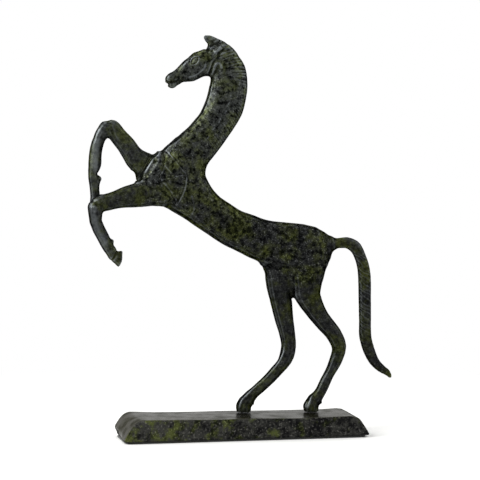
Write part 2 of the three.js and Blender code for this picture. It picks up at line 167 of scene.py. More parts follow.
def along_line(places: Array, line: Array) -> tuple[Array, Array, Array]:
    """How far places are from a line, and where along it.

    Each place is dropped square onto every span of the line, and the nearest foot counts.

    Args:
        places: Points in the plane of the figure, one row each.
        line: The line's points.

    Returns:
        The distance from the line, the distance along it, and the sign of the side that the place is on.
    """
    start, span = line[:-1], np.diff(line, axis=0)
    length = np.linalg.norm(span, axis=1)
    offset = places[:, None, :] - start[None]
    share = np.clip((offset * span).sum(2) / length**2, 0, 1)
    gap = offset - share[..., None] * span
    distance = np.hypot(gap[..., 0], gap[..., 1])
    nearest = distance.argmin(1)
    rows = np.arange(len(places))
    travelled = np.concatenate([[0], np.cumsum(length)[:-1]])
    way = span[nearest]
    off = offset[rows, nearest]
    side = np.sign(way[:, 0] * off[:, 1] - way[:, 1] * off[:, 0])
    return distance[rows, nearest], travelled[nearest] + share[rows, nearest] * length[nearest], side


def sway(wave: tuple[float, float], way: Array, start: Array | float = 0.0) -> Array:
    """A sine along a way, from a starting phase. The wave is its size and its radians per millimetre."""
    return wave[0] * np.sin(way * wave[1] + start)


def ripple(
    at: Array, wave: float, count: int = 6, spread: float = 0.13, step: float = 2.4, gain: float = 1.8
) -> Array:
    """An uneven swell without a direction, from about -1 to 1.

    It is the mean of a few plane sine waves of nearly the same length, whose directions and phases are spread
    by the golden angle.

    Args:
        at: Points in millimetres.
        wave: The length of the waves in millimetres.
        count: How many waves there are.
        spread: How much longer each wave is than the one before, as a share of the length.
        step: How far each wave's phase is past that of the one before, in radians.
        gain: What brings the mean of the waves up to the full swing.

    Returns:
        The swell at each point.
    """
    number = np.arange(count)
    turn = number * np.pi * (3 - np.sqrt(5))
    rise = (2 * number + 1) / count - 1
    flat = np.sqrt(1 - rise**2)
    ways = np.stack([flat * np.cos(turn), flat * np.sin(turn), rise])
    lengths = wave * (1 + spread * (number - (count - 1) / 2))
    return np.sin(at @ ways * (2 * np.pi / lengths) + step * number).mean(1) * gain


# Meshes as arrays


def points_of(mesh: bpy.types.Mesh) -> Array:
    """The vertices of a mesh.

    Args:
        mesh: The mesh.

    Returns:
        A row of x, y and z for each vertex.
    """
    flat = np.empty(len(mesh.vertices) * 3, np.float32)
    mesh.vertices.foreach_get("co", flat)
    return flat.reshape(-1, 3).astype(float)


def normals_of(mesh: bpy.types.Mesh) -> Array:
    """The outward directions of a mesh.

    Args:
        mesh: The mesh.

    Returns:
        A row of x, y and z of length 1 for each vertex.
    """
    flat = np.empty(len(mesh.vertices) * 3, np.float32)
    mesh.vertex_normals.foreach_get("vector", flat)
    return flat.reshape(-1, 3).astype(float)


def edges_of(mesh: bpy.types.Mesh) -> Array:
    """The edges of a mesh.

    Args:
        mesh: The mesh.

    Returns:
        A row of two vertex numbers for each edge.
    """
    flat = np.empty(len(mesh.edges) * 2, np.int32)
    mesh.edges.foreach_get("vertices", flat)
    return flat.reshape(-1, 2)


def corners_of(mesh: bpy.types.Mesh) -> Array:
    """The faces of a mesh that has only four-sided ones.

    Args:
        mesh: The mesh.

    Returns:
        A row of four vertex numbers for each face.
    """
    flat = np.empty(len(mesh.loops), np.int32)
    mesh.loops.foreach_get("vertex_index", flat)
    return flat.reshape(-1, 4)


def middles_of(mesh: bpy.types.Mesh) -> Array:
    """The middle of each face of a mesh that has only four-sided ones."""
    return points_of(mesh)[corners_of(mesh)].mean(1)


def put_points(mesh: bpy.types.Mesh, points: Array) -> None:
    """Move the vertices of a mesh."""
    mesh.vertices.foreach_set("co", points.astype(np.float32).ravel())
    mesh.update()


def put_values(mesh: bpy.types.Mesh, name: str, values: Array) -> None:
    """Keep a number for each vertex as an attribute that a material can read."""
    attribute = mesh.attributes.get(name) or mesh.attributes.new(name, "FLOAT", "POINT")
    attribute.data.foreach_set("value", values.astype(np.float32))


def values_of(mesh: bpy.types.Mesh, name: str) -> Array:
    """The numbers that an attribute holds.

    Args:
        mesh: The mesh.
        name: The attribute's name.

    Returns:
        A number for each vertex.
    """
    values = np.empty(len(mesh.vertices), np.float32)
    mesh.attributes[name].data.foreach_get("value", values)
    return values


def inside_box(points: Array) -> Array:
    """Points moved into the CAD model's box where they stand out of it."""
    return np.clip(points, *map(np.array, CAD_BOX))


def mesh_from(points: Array, faces: Array, name: str) -> bpy.types.Mesh:
    """Make a mesh.

    Args:
        points: A row of x, y and z for each vertex.
        faces: A row of vertex numbers for each face.
        name: The mesh's name.

    Returns:
        The new mesh.
    """
    mesh = bpy.data.meshes.new(name)
    mesh.from_pydata(points.tolist(), [], faces.tolist())
    mesh.update()
    return mesh


def evened(points: Array, edges: Array, rounds: int, pull: float, push: float) -> Array:
    """Even out a surface, with little loss of its bulk.

    In each round every point moves a share `pull` of the way to the mean of its neighbours, and then a share
    `push` of the way back out from the new mean.

    Args:
        points: The surface's points.
        edges: The two point numbers of each edge.
        rounds: How many rounds to make.
        pull: The share of the way in.
        push: The share of the way out.

    Returns:
        The moved points.
    """
    count = len(points)
    ends = np.concatenate([edges, edges[:, ::-1]])
    neighbours = np.maximum(np.bincount(ends[:, 0], minlength=count), 1)[:, None]
    for _ in range(rounds):
        for share in (pull, -push):
            total = [np.bincount(ends[:, 0], points[ends[:, 1], k], count) for k in range(3)]
            points = points + share * (np.stack(total, 1) / neighbours - points)
    return points


def new_piece(name: str, mesh: bpy.types.Mesh, replaced: str) -> bpy.types.Object:
    """Make a piece of the object from a finished mesh, in place of a CAD node.

    Args:
        name: The piece's name.
        mesh: Its mesh, in place.
        replaced: The CAD node that it stands for.

    Returns:
        The new object.
    """
    mesh.name = name
    piece = bpy.data.objects.new(name, mesh)
    bpy.context.scene.collection.objects.link(piece)
    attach(piece, "root")
    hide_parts(replaced)
    LOG.info("%s: %d vertices, %d faces", name, len(mesh.vertices), len(mesh.polygons))
    return piece


def cad_copy(names: tuple[str, ...]) -> bpy.types.Mesh:
    """Copy CAD nodes into one mesh, with the doubled corners of their loose triangles merged.

    Args:
        names: The nodes' names.

    Returns:
        The new mesh.
    """
    work = bmesh.new()
    for name in names:
        work.from_mesh(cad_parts[name].data)
    bmesh.ops.remove_doubles(work, verts=work.verts, dist=WELD)
    mesh = bpy.data.meshes.new("copy")
    work.to_mesh(mesh)
    work.free()
    return mesh


def remeshed(mesh: bpy.types.Mesh, voxel: float) -> bpy.types.Mesh:
    """Draw the outer surface of a mesh as an even net of four-sided faces of one size.

    Args:
        mesh: The mesh, which is used up.
        voxel: The side of a face.

    Returns:
        The net.
    """
    carrier = bpy.data.objects.new("carrier", mesh)
    bpy.context.scene.collection.objects.link(carrier)
    modifier = carrier.modifiers.new("net", "REMESH")
    modifier.mode = "VOXEL"
    modifier.voxel_size = voxel
    modifier.use_smooth_shade = True
    graph = bpy.context.evaluated_depsgraph_get()
    net = bpy.data.meshes.new_from_object(carrier.evaluated_get(graph))
    bpy.data.objects.remove(carrier)
    bpy.data.meshes.remove(mesh)
    return net


# Wax work: small shifts of the form in the plane of the figure, before the reliefs are cut


@dataclass(frozen=True)
class Push:
    """A dab that draws the form a little way in the plane of the figure.

    Each point moves by the way times a bell of its distance from the centre, on one half of the figure or on
    both. Where the halves meet, the move fades out over the blend.
    """

    centre: tuple[float, float]
    way: tuple[float, float]
    width: float
    side: Flank = Flank.BOTH
    blend: float = 1.0

    def shift(self, at: Array) -> Array:
        """How far the dab moves a surface.

        Args:
            at: Points in millimetres.

        Returns:
            The move of each point in millimetres.
        """
        off = at[:, (0, 2)] - np.array(self.centre)
        share = bell(np.hypot(off[:, 0], off[:, 1]), self.width)
        if self.side is not Flank.BOTH:
            share = share * ramp((at[:, 1] - MID_PLANE) * self.side.value, -self.blend, self.blend)
        return share[:, None] * np.array([self.way[0], 0, self.way[1]])


@dataclass(frozen=True)
class Dab:
    """A place where wax softens the meeting of two forms.

    In each round a point moves most of the way to the mean of its neighbours, times a bell of its distance
    from the centre. A fill moves only outwards, and evening moves only the depth y.
    """

    centre: tuple[float, float]
    width: float
    rounds: int
    side: Flank = Flank.BOTH
    work: Wax = Wax.FILL
    blend: tuple[float, float] = (-0.5, 1.0)
    rounds_per_turn: int = 30
    share: float = 0.8
    least: float = 0.03

    def press(self, mesh: bpy.types.Mesh, edges: Array, kept: Array) -> None:
        """Work the wax on a mesh.

        Args:
            mesh: The skin, which is changed.
            edges: The two vertices of each of its edges.
            kept: Which vertices the finished piece has. Without any of them here, nothing is done.
        """
        at = points_of(mesh) / MM
        off = at[:, (0, 2)] - np.array(self.centre)
        weight = bell(np.hypot(off[:, 0], off[:, 1]), self.width)
        if self.side is not Flank.BOTH:
            weight = weight * ramp((at[:, 1] - MID_PLANE) * self.side.value, *self.blend)
        weight[weight < self.least] = 0
        if not weight[kept].any():
            return
        held, ends = np.unique(edges[(weight[edges] > 0).any(1)], return_inverse=True)
        ends = ends.reshape(-1, 2)
        here, there = np.concatenate([ends, ends[:, ::-1]]).T
        neighbours = np.bincount(here, minlength=len(held))[:, None]
        spot, share = at[held], self.share * weight[held]
        for _ in range(self.rounds // self.rounds_per_turn):
            facing = normals_of(mesh)[held]
            for _ in range(self.rounds_per_turn):
                total = [np.bincount(here, spot[there, k], len(held)) for k in range(3)]
                move = np.stack(total, 1) / neighbours - spot
                if self.work is Wax.EVEN:
                    spot[:, 1] += share * move[:, 1]
                else:
                    spot += (share * ((move * facing).sum(1) > 0))[:, None] * move
            at[held] = spot
            put_points(mesh, at * MM)


PUSHES: tuple[Push, ...] = (
    # Ear, poll, crest and brow
    Push((-17.2, 198.8), (-1.5, 0.1), 2.3),
    Push((-16.2, 196.6), (-0.6, 0.1), 1.6),
    Push((-14.6, 200.6), (0.1, 0.4), 2.4),
    Push((-18.3, 193.9), (0.0, -0.2), 1.8),
    Push((-16.7, 195.2), (0.4, -0.9), 1.2),
    Push((-8.0, 197.8), (0.2, 0.4), 3.5),
    Push((0.3, 190.5), (-0.5, -0.37), 3.6),
    Push((1.0, 161.5), (0.25, -0.1), 5.0),
    Push((-23.5, 192.2), (-0.3, 0.6), 2.4),
    # Nose, lips, chin and jaw
    Push((-29.0, 188.0), (-0.3, 0.3), 3.8),
    Push((-36.0, 181.2), (-1.0, 0.8), 2.5),
    Push((-36.9, 176.7), (0.9, 0.35), 0.8),
    Push((-34.0, 175.5), (0.0, -0.6), 1.5),
    Push((-31.5, 176.0), (0.0, 0.45), 1.5),
    Push((-29.6, 177.2), (0.0, 0.7), 2.0),
    Push((-25.0, 178.3), (0.0, -0.3), 2.4),
    Push((-19.0, 180.6), (0.0, 0.45), 2.4),
    # Throat and the front of the neck
    Push((-15.3, 181.0), (-0.3, -0.5), 1.5),
    Push((-15.4, 174.0), (-0.45, -0.1), 5.0),
    Push((-20.0, 162.0), (0.55, -0.35), 4.5),
    Push((-27.5, 155.0), (0.6, -0.5), 5.0),
    # Chest between the neck and the far foreleg
    Push((-40.4, 143.9), (-1.4, 2.5), 3.2),
    Push((-31.5, 151.0), (0.2, -0.3), 3.0),
    Push((-38.2, 146.0), (-0.25, 0.3), 2.4),
    Push((-49.0, 145.2), (-0.75, -0.8), 4.2),
    # Far foreleg: knee, its inner bend, armpit, fetlock and cannon
    Push((-71.3, 157.6), (0.4, -0.45), 2.6, Flank.FAR),
    Push((-74.2, 151.5), (0.4, -0.1), 4.0, Flank.FAR),
    Push((-65.0, 158.8), (0.0, 0.2), 2.6, Flank.FAR),
    Push((-61.5, 157.6), (0.9, 0.85), 3.8, Flank.FAR),
    Push((-59.5, 142.0), (0.15, 0.12), 6.0, Flank.FAR),
    Push((-65.0, 149.0), (0.0, 1.2), 2.2, Flank.FAR),
    Push((-55.0, 135.0), (0.5, 0.35), 3.0, Flank.FAR),
    Push((-53.6, 132.2), (1.2, 0.7), 2.2, Flank.FAR),
    Push((-50.2, 129.6), (-0.9, -0.1), 1.4, Flank.FAR),
    Push((-70.6, 132.4), (-0.7, 0.0), 1.2, Flank.FAR),
    Push((-70.0, 136.8), (0.9, 0.0), 3.2, Flank.FAR),
    Push((-69.0, 144.5), (-0.2, 0.0), 3.0, Flank.FAR),
    Push((-70.4, 122.6), (0.2, 0.0), 1.3, Flank.FAR),
    Push((-70.1, 128.6), (0.5, 0.0), 1.7, Flank.FAR),
    Push((-75.2, 142.0), (-0.35, 0.0), 7.0, Flank.FAR),
    Push((-75.0, 128.0), (-0.8, 0.0), 6.0, Flank.FAR),
    # Near foreleg: armpit, elbow bend, under edge, cannon and hoof
    Push((-52.2, 129.4), (-1.4, 0.7), 1.7, Flank.NEAR),
    Push((-60.0, 125.3), (-0.1, 0.2), 4.5, Flank.NEAR),
    Push((-71.4, 122.4), (0.0, 0.5), 1.4, Flank.NEAR),
    Push((-46.0, 117.3), (0.0, 0.9), 4.5),
    Push((-38.6, 116.8), (-0.2, -0.45), 2.2),
    Push((-69.0, 114.3), (-0.1, 0.3), 2.2, Flank.NEAR),
    Push((-68.5, 108.5), (0.25, 0.1), 3.0, Flank.NEAR),
    Push((-64.8, 100.4), (0.2, 0.15), 1.5, Flank.NEAR),
    Push((-62.6, 96.2), (0.4, 0.35), 1.6, Flank.NEAR),
    Push((-65.6, 90.4), (-0.35, -0.25), 3.0, Flank.NEAR),
    Push((-67.0, 104.0), (0.25, 0.15), 4.0, Flank.NEAR),
    Push((-61.0, 94.6), (0.1, 0.6), 1.2, Flank.NEAR),
    Push((-62.0, 90.6), (0.9, -0.5), 2.4, Flank.NEAR),
    Push((-62.0, 88.2), (0.3, -1.2), 1.9, Flank.NEAR),
    # Withers, back, belly and croup
    Push((-17.0, 131.8), (1.4, 0.2), 2.8),
    Push((-14.3, 125.6), (-0.25, -0.3), 3.0),
    Push((0.5, 114.4), (-0.15, -0.35), 4.0),
    Push((-10.5, 122.5), (-0.75, -0.75), 5.5),
    Push((8.0, 109.5), (0.1, 0.3), 4.0),
    Push((-28.0, 110.5), (0.3, 0.4), 6.0),
    Push((-8.0, 97.5), (-0.1, -0.45), 7.0),
    Push((5.0, 91.0), (-0.2, -0.35), 6.0),
    Push((12.7, 85.6), (-1.6, -1.4), 2.5),
    Push((27.0, 107.0), (0.0, 0.7), 10.0),
    Push((38.0, 105.6), (0.1, 0.25), 4.0),
    Push((44.0, 102.0), (0.5, 1.1), 4.6),
    # Haunches and tail
    Push((45.6, 87.0), (1.5, 0.1), 3.6),
    Push((27.6, 70.2), (-0.4, -0.9), 2.2),
    Push((43.0, 76.0), (-0.5, 0.0), 3.0),
    Push((46.0, 62.0), (-0.45, -0.25), 6.0, Flank.NEAR),
    Push((52.8, 41.0), (-0.2, 0.1), 3.5, Flank.NEAR),
    Push((44.5, 48.2), (0.35, 0.25), 4.0, Flank.NEAR),
    Push((44.4, 33.0), (0.3, -0.1), 4.0, Flank.NEAR),
    Push((47.9, 30.0), (-0.4, 0.1), 4.0, Flank.NEAR),
    Push((19.3, 57.0), (-0.3, 0.0), 7.0, Flank.FAR),
    Push((28.6, 50.0), (-0.4, 0.0), 8.0, Flank.FAR),
    Push((18.6, 38.6), (0.75, -0.3), 4.0, Flank.FAR),
    Push((25.6, 35.5), (-0.35, 0.35), 4.5, Flank.FAR),
    Push((12.0, 32.0), (0.25, -0.25), 6.0, Flank.FAR),
    Push((49.0, 92.2), (-0.9, 0.5), 1.6),
    Push((56.5, 93.6), (0.0, -0.3), 2.5),
    Push((56.0, 99.0), (0.0, 0.35), 4.0),
    Push((53.0, 94.2), (0.0, -0.45), 3.0),
    Push((62.0, 96.8), (0.6, 0.55), 4.8),
    Push((65.5, 82.0), (0.4, 0.0), 9.0),
    Push((68.2, 58.0), (0.35, 0.0), 7.0),
    Push((62.4, 50.0), (-0.35, 0.0), 4.0),
    Push((73.6, 36.5), (-0.55, -0.4), 4.5),
    Push((77.6, 30.6), (0.3, 0.4), 1.8),
    Push((78.6, 28.0), (0.2, -0.9), 2.2),
    # Hind hooves
    Push((-1.0, 15.5), (-0.5, 0.0), 2.6),
    Push((7.2, 13.5), (0.3, 0.0), 1.6),
    Push((33.3, 14.6), (-0.7, 0.0), 2.6),
    Push((42.6, 14.0), (0.6, 0.0), 1.8),
    Push((5.2, 24.5), (0.4, -0.35), 3.5, Flank.FAR),
    Push((36.8, 23.5), (0.35, -0.1), 3.0, Flank.NEAR),
)

DABS: tuple[Dab, ...] = (
    # Belly and thighs
    Dab((20.0, 85.0), 7.0, 240, Flank.NEAR),
    Dab((36.0, 84.0), 7.0, 90, Flank.NEAR),
    Dab((36.0, 85.0), 7.0, 240, Flank.FAR),
    Dab((18.0, 84.0), 7.0, 90, Flank.FAR),
    Dab((15.0, 84.2), 3.5, 120),
    Dab((26.5, 78.0), 4.0, 90, Flank.NEAR),
    Dab((26.5, 78.0), 4.0, 90, Flank.FAR),
    # Shoulders and forelegs, the notch of the chest and the withers
    Dab((-47.0, 126.0), 6.0, 120, Flank.NEAR),
    Dab((-47.0, 137.0), 6.0, 120, Flank.FAR),
    Dab((-44.2, 143.0), 3.2, 90),
    Dab((-50.4, 131.4), 2.6, 120),
    Dab((-38.5, 145.8), 4.0, 120),
    Dab((-17.2, 131.5), 4.0, 120),
    Dab((-48.0, 137.0), 4.0, 30, work=Wax.EVEN),
    Dab((-50.0, 124.0), 4.0, 30, work=Wax.EVEN),
    # Root of the tail
    Dab((50.0, 99.5), 3.2, 60),
    Dab((47.5, 96.5), 6.5, 180, work=Wax.EVEN),
)

# Reliefs: what the chaser cut into the surface, as a height above it in millimetres


class Relief(Protocol):
    """A height field over a casting."""

    def height(self, at: Array, facing: Array) -> Array:
        """The height at points in millimetres whose outward directions are given."""


def on_flank(facing: Array, side: Flank, low: float = 0.15, high: float = 0.55) -> Array:
    """How squarely a surface faces sideways, from 0 to 1, on one flank or both."""
    across = np.abs(facing[:, 1]) if side is Flank.BOTH else facing[:, 1] * side.value
    return ramp(across, low, high)


def turned(at: Array, centre: tuple[float, float], turn: float) -> tuple[Array, Array]:
    """How far points are from a centre in the plane of the figure, by the axes of a turned oval.

    Args:
        at: Points in millimetres.
        centre: The oval's centre.
        turn: How far its first axis is turned up from x, in degrees.

    Returns:
        The distances along the first axis and along the second.
    """
    angle = np.radians(turn)
    off = at[:, (0, 2)] - np.array(centre)
    along = off @ np.array([np.cos(angle), np.sin(angle)])
    across = off @ np.array([-np.sin(angle), np.cos(angle)])
    return along, across


@dataclass(frozen=True)
class Stroke:
    """A line cut into a flank with a graver, or a ridge left standing where the depth is negative.

    The height is minus the depth times a bell across the line, plus the burr times the same bell moved to the
    line's left, all times a taper at the line's ends, and times how squarely the surface faces sideways. A
    faint share is left at the very ends. How far off the burr is, and how far the stroke reaches, are in
    widths.
    """

    path: Path
    depth: float
    width: float = 0.5
    taper: float = 1.5
    side: Flank = Flank.BOTH
    burr: float = 0.0
    burr_at: float = 1.6
    faint: float = 0.25
    reach: float = 4.0

    def height(self, at: Array, facing: Array) -> Array:
        """The height of the stroke.

        Args:
            at: Points in millimetres.
            facing: The outward direction at each point.

        Returns:
            The height at each point in millimetres.
        """
        line = curve_through(self.path)
        places = at[:, (0, 2)]
        reach = self.reach * self.width
        low, high = line.min(0) - reach, line.max(0) + reach
        near = np.flatnonzero(((places > low) & (places < high)).all(1))
        found = np.zeros(len(at))
        if near.size:
            distance, way, side = along_line(places[near], line)
            total = np.linalg.norm(np.diff(line, axis=0), axis=1).sum()
            inner = ramp(way, 0, self.taper) * ramp(total - way, 0, self.taper)
            ends = self.faint + (1 - self.faint) * inner
            thrown = self.burr * bell(side * distance - self.burr_at * self.width, self.width)
            found[near] = (thrown - self.depth * bell(distance, self.width)) * ends
        return found * on_flank(facing, self.side)


@dataclass(frozen=True)
class Boss:
    """A low oval swelling on a flank, or a hollow where its rise is negative.

    The height is the rise times the square of 1 less the square of the share of the oval's radius.
    """

    centre: tuple[float, float]
    radii: tuple[float, float]
    turn: float
    rise: float
    side: Flank = Flank.BOTH

    def height(self, at: Array, facing: Array) -> Array:
        """The height of the swelling.

        Args:
            at: Points in millimetres.
            facing: The outward direction at each point.

        Returns:
            The height at each point in millimetres.
        """
        along, across = turned(at, self.centre, self.turn)
        share = np.hypot(along / self.radii[0], across / self.radii[1])
        inside = np.clip(1 - share**2, 0, None)
        return self.rise * inside**2 * on_flank(facing, self.side)


@dataclass(frozen=True)
class Eye:
    """An almond eye: a low ball, a cut line round it, and slightly raised lids outside that.

    The share of the way to the lids is the square of the share along the eye, plus the share across it. The
    height is the ball's swelling, less a bell on the almond's rim, plus a wider bell outside the rim.
    """

    centre: tuple[float, float]
    half: tuple[float, float]
    turn: float
    rise: float
    cut: float
    lid: float
    rim_width: float = 0.22
    lid_at: float = 1.55
    lid_width: float = 0.35
    softness: float = 0.02

    def height(self, at: Array, facing: Array) -> Array:
        """The height of the eye.

        Args:
            at: Points in millimetres.
            facing: The outward direction at each point.

        Returns:
            The height at each point in millimetres.
        """
        along, across = turned(at, self.centre, self.turn)
        share = (along / self.half[0]) ** 2 + np.sqrt((across / self.half[1]) ** 2 + self.softness)
        ball = self.rise * np.clip(1 - share, 0, None)
        rim = self.cut * bell(share - 1, self.rim_width)
        lids = self.lid * bell(share - self.lid_at, self.lid_width)
        return (ball - rim + lids) * on_flank(facing, Flank.BOTH)


@dataclass(frozen=True)
class Mane:
    """A band along the crest with locks cut across it.

    The height is minus the depth times a rounded saw of the distance along the crest, whose lean at each
    share of the crest is drawn, as is its strength, plus a low ridge in a bell round the line where the band
    ends. The locks stray and fray, the hem wanders, and the graver's pressure and the ridge come and go, each
    as a wave along the crest. The room round the mane is in reaches, and its overhang in millimetres.
    """

    crest: Path
    reach: float
    ridge_rise: float
    depth: float
    spacing: tuple[float, float]
    lean: Path
    strength: Path
    stray: tuple[float, float] = (0.35, 0.9)
    fray: tuple[float, float] = (0.2, 2.3)
    fray_inward: float = 0.5
    bluntness: float = 0.7
    hem: tuple[float, float] = (0.03, 0.8)
    hem_width: float = 0.7
    fade: tuple[float, float] = (5.0, 10.0)
    pressure: tuple[float, float] = (0.3, 1.7)
    pressure_start: float = 1.0
    facing_range: tuple[float, float] = (0.1, 0.6)
    ridge_starts: tuple[float, float] = (0.3, 0.6)
    ridge: tuple[float, float] = (0.4, 1.1)
    ridge_width: float = 0.6
    room: float = 1.5
    overhang: float = 2.0

    def height(self, at: Array, facing: Array) -> Array:
        """The height of the mane.

        Args:
            at: Points in millimetres.
            facing: The outward direction at each point.

        Returns:
            The height at each point in millimetres.
        """
        line = curve_through(self.crest)
        places = at[:, (0, 2)]
        low, high = line.min(0) - self.room * self.reach, line.max(0) + self.overhang
        near = np.flatnonzero(((places > low) & (places < high)).all(1))
        found = np.zeros(len(at))
        if not near.size:
            return found
        inward, way, _ = along_line(places[near], line)
        total = np.linalg.norm(np.diff(line, axis=0), axis=1).sum()
        share = way / total
        lean = np.interp(share, *np.array(self.lean).T)
        spacing = self.spacing[0] + (self.spacing[1] - self.spacing[0]) * share
        uneven = sway(self.stray, way) + sway(self.fray, way, inward * self.fray_inward)
        phase = (way + lean * inward + uneven) / spacing
        cut = np.abs(np.sin(np.pi * phase)) ** self.bluntness
        reach = self.reach * (1 + sway(self.hem, way))
        band = ramp(inward, reach + self.hem_width, reach - self.hem_width)
        ends = ramp(way, 0, self.fade[0]) * ramp(total - way, 0, self.fade[1])
        pressed = 1 - self.pressure[0] + sway(self.pressure, way, self.pressure_start)
        strength = np.interp(share, *np.array(self.strength).T) * pressed
        strength *= on_flank(facing[near], Flank.BOTH, *self.facing_range)
        broken = ramp(share, *self.ridge_starts) * (1 - self.ridge[0] + sway(self.ridge, way))
        line_inside = self.ridge_rise * broken * bell(inward - reach, self.ridge_width)
        line_inside *= on_flank(facing[near], Flank.BOTH)
        found[near] = ends * (line_inside - band * self.depth * strength * (1 - cut))
        return found


@dataclass(frozen=True)
class TailHair:
    """Slanting strokes all along the hanging part of the tail.

    The height is minus the depth times a rounded saw of the height up the tail, less the slope times x. The
    hairs stray and fray up the tail and across it, each as a wave.
    """

    left: float
    bottom: float
    top: float
    spacing: float
    slope: float
    depth: float
    stray: tuple[float, float] = (0.35, 0.7)
    fray: tuple[float, float] = (0.2, 1.9)
    stray_across: tuple[float, float] = (0.16, 1.1)
    bluntness: float = 0.7
    fade: tuple[float, float] = (6.0, 5.0)
    facing_range: tuple[float, float] = (0.05, 0.4)

    def height(self, at: Array, facing: Array) -> Array:
        """The height of the tail's hair.

        Args:
            at: Points in millimetres.
            facing: The outward direction at each point.

        Returns:
            The height at each point in millimetres.
        """
        x, z = at[:, 0], at[:, 2]
        uneven = sway(self.stray, z) + sway(self.fray, z, x) + sway(self.stray_across, x)
        phase = (z - self.slope * x) / self.spacing + uneven
        saw = np.abs(np.sin(np.pi * phase)) ** self.bluntness
        room = (x > self.left) * ramp(z, self.bottom, self.bottom + self.fade[0])
        room = room * ramp(z, self.top, self.top - self.fade[1])
        return -self.depth * (1 - saw) * room * on_flank(facing, Flank.BOTH, *self.facing_range)


@dataclass(frozen=True)
class Ring:
    """A line cut right round a leg, such as where a hoof starts.

    The height is minus the depth times a bell of the distance from a plane, near a point on it.
    """

    at_point: tuple[float, float, float]
    along: tuple[float, float, float]
    depth: float
    width: float = 0.45
    reach: float = 6.5

    def height(self, at: Array, facing: Array) -> Array:
        """The height of the ring.

        Args:
            at: Points in millimetres.
            facing: The outward direction at each point. It is not used.

        Returns:
            The height at each point in millimetres.
        """
        off = at - np.array(self.at_point)
        way = np.array(self.along) / np.linalg.norm(self.along)
        near = np.linalg.norm(off, axis=1) < self.reach
        return -self.depth * bell(off @ way, self.width) * near


@dataclass(frozen=True)
class CastSkin:
    """The unevenness that a sand mould and the file leave: long low swells and shorter, lower ones."""

    swell: float = 0.09
    swell_wave: float = 9.0
    dimple: float = 0.03
    dimple_wave: float = 2.6

    def height(self, at: Array, facing: Array) -> Array:
        """The height of the swells at each point."""
        return self.swell * ripple(at, self.swell_wave) + self.dimple * ripple(at, self.dimple_wave)


CREST: Path = (
    (-16.9, 201.1),
    (-13.4, 199.8),
    (-8.8, 197.6),
    (-4.2, 193.9),
    (0.1, 189.1),
    (2.7, 183.9),
    (3.6, 178.9),
    (3.3, 173.9),
    (2.7, 168.9),
    (1.1, 163.9),
    (-1.2, 158.9),
    (-5.8, 152.0),
    (-10.4, 146.0),
    (-14.5, 140.5),
    (-17.0, 136.5),
)

# How far the mane's locks lean down, at shares of the way from the poll to the withers
MANE_LEAN: Path = ((0.1, 0.9), (0.3, 0.55), (0.4, 0.3), (0.5, 0.5), (0.6, 0.6), (0.76, 0.4), (1.0, 0.3))
MANE_STRENGTH: Path = ((0.1, 0.8), (0.35, 1.0), (0.45, 0.45), (0.55, 0.55), (0.7, 0.7), (1.0, 0.65))

# The head, mane and neck
HEAD_RELIEFS: tuple[Relief, ...] = (
    Mane(
        CREST,
        reach=8.4,
        ridge_rise=0.16,
        depth=0.34,
        spacing=(2.5, 1.6),
        lean=MANE_LEAN,
        strength=MANE_STRENGTH,
    ),
    Eye((-23.4, 188.5), (2.5, 1.15), turn=46, rise=0.1, cut=0.18, lid=0.14, lid_at=1.45),
    Stroke(((-29.3, 185.6), (-27.2, 187.8), (-25.2, 189.4)), depth=-0.2, width=0.7),
    Boss((-36.0, 180.2), (2.6, 2.2), turn=35, rise=0.5),
    Boss((-33.2, 180.3), (1.3, 0.9), turn=35, rise=-0.45),
    Stroke(((-37.5, 178.1), (-35.2, 177.8), (-32.6, 178.3)), depth=0.45, width=0.45, taper=0.8),
    Boss((-21.0, 186.0), (5.2, 4.2), turn=30, rise=0.55),
    Stroke(
        ((-27.0, 180.2), (-23.4, 181.3), (-20.9, 182.9), (-18.9, 184.9), (-17.9, 187.4)),
        depth=-0.35,
        width=0.7,
    ),
    Stroke(((-13.8, 191.6), (-9.6, 195.8)), depth=-0.9, width=1.0),
    Stroke(((-12.6, 190.7), (-9.0, 194.2)), depth=0.5, width=0.6),
    Boss((-14.8, 193.3), (1.2, 0.8), turn=20, rise=-0.5),
    Stroke(((-15.8, 181.2), (-15.1, 184.2), (-14.2, 187.0), (-12.6, 189.2)), depth=0.6, width=0.7),
    Stroke(
        ((-15.0, 180.6), (-13.8, 183.9), (-12.9, 186.2), (-11.8, 187.2), (-10.5, 186.4), (-9.7, 184.0)),
        depth=-0.5,
        width=0.8,
    ),
    Stroke(
        (
            (-14.6, 180.0),
            (-14.9, 174.0),
            (-16.4, 168.6),
            (-19.0, 163.4),
            (-22.2, 159.0),
            (-25.3, 155.5),
            (-28.4, 152.2),
            (-33.6, 147.8),
            (-38.4, 144.9),
        ),
        depth=-0.3,
        width=0.6,
        taper=5,
    ),
)

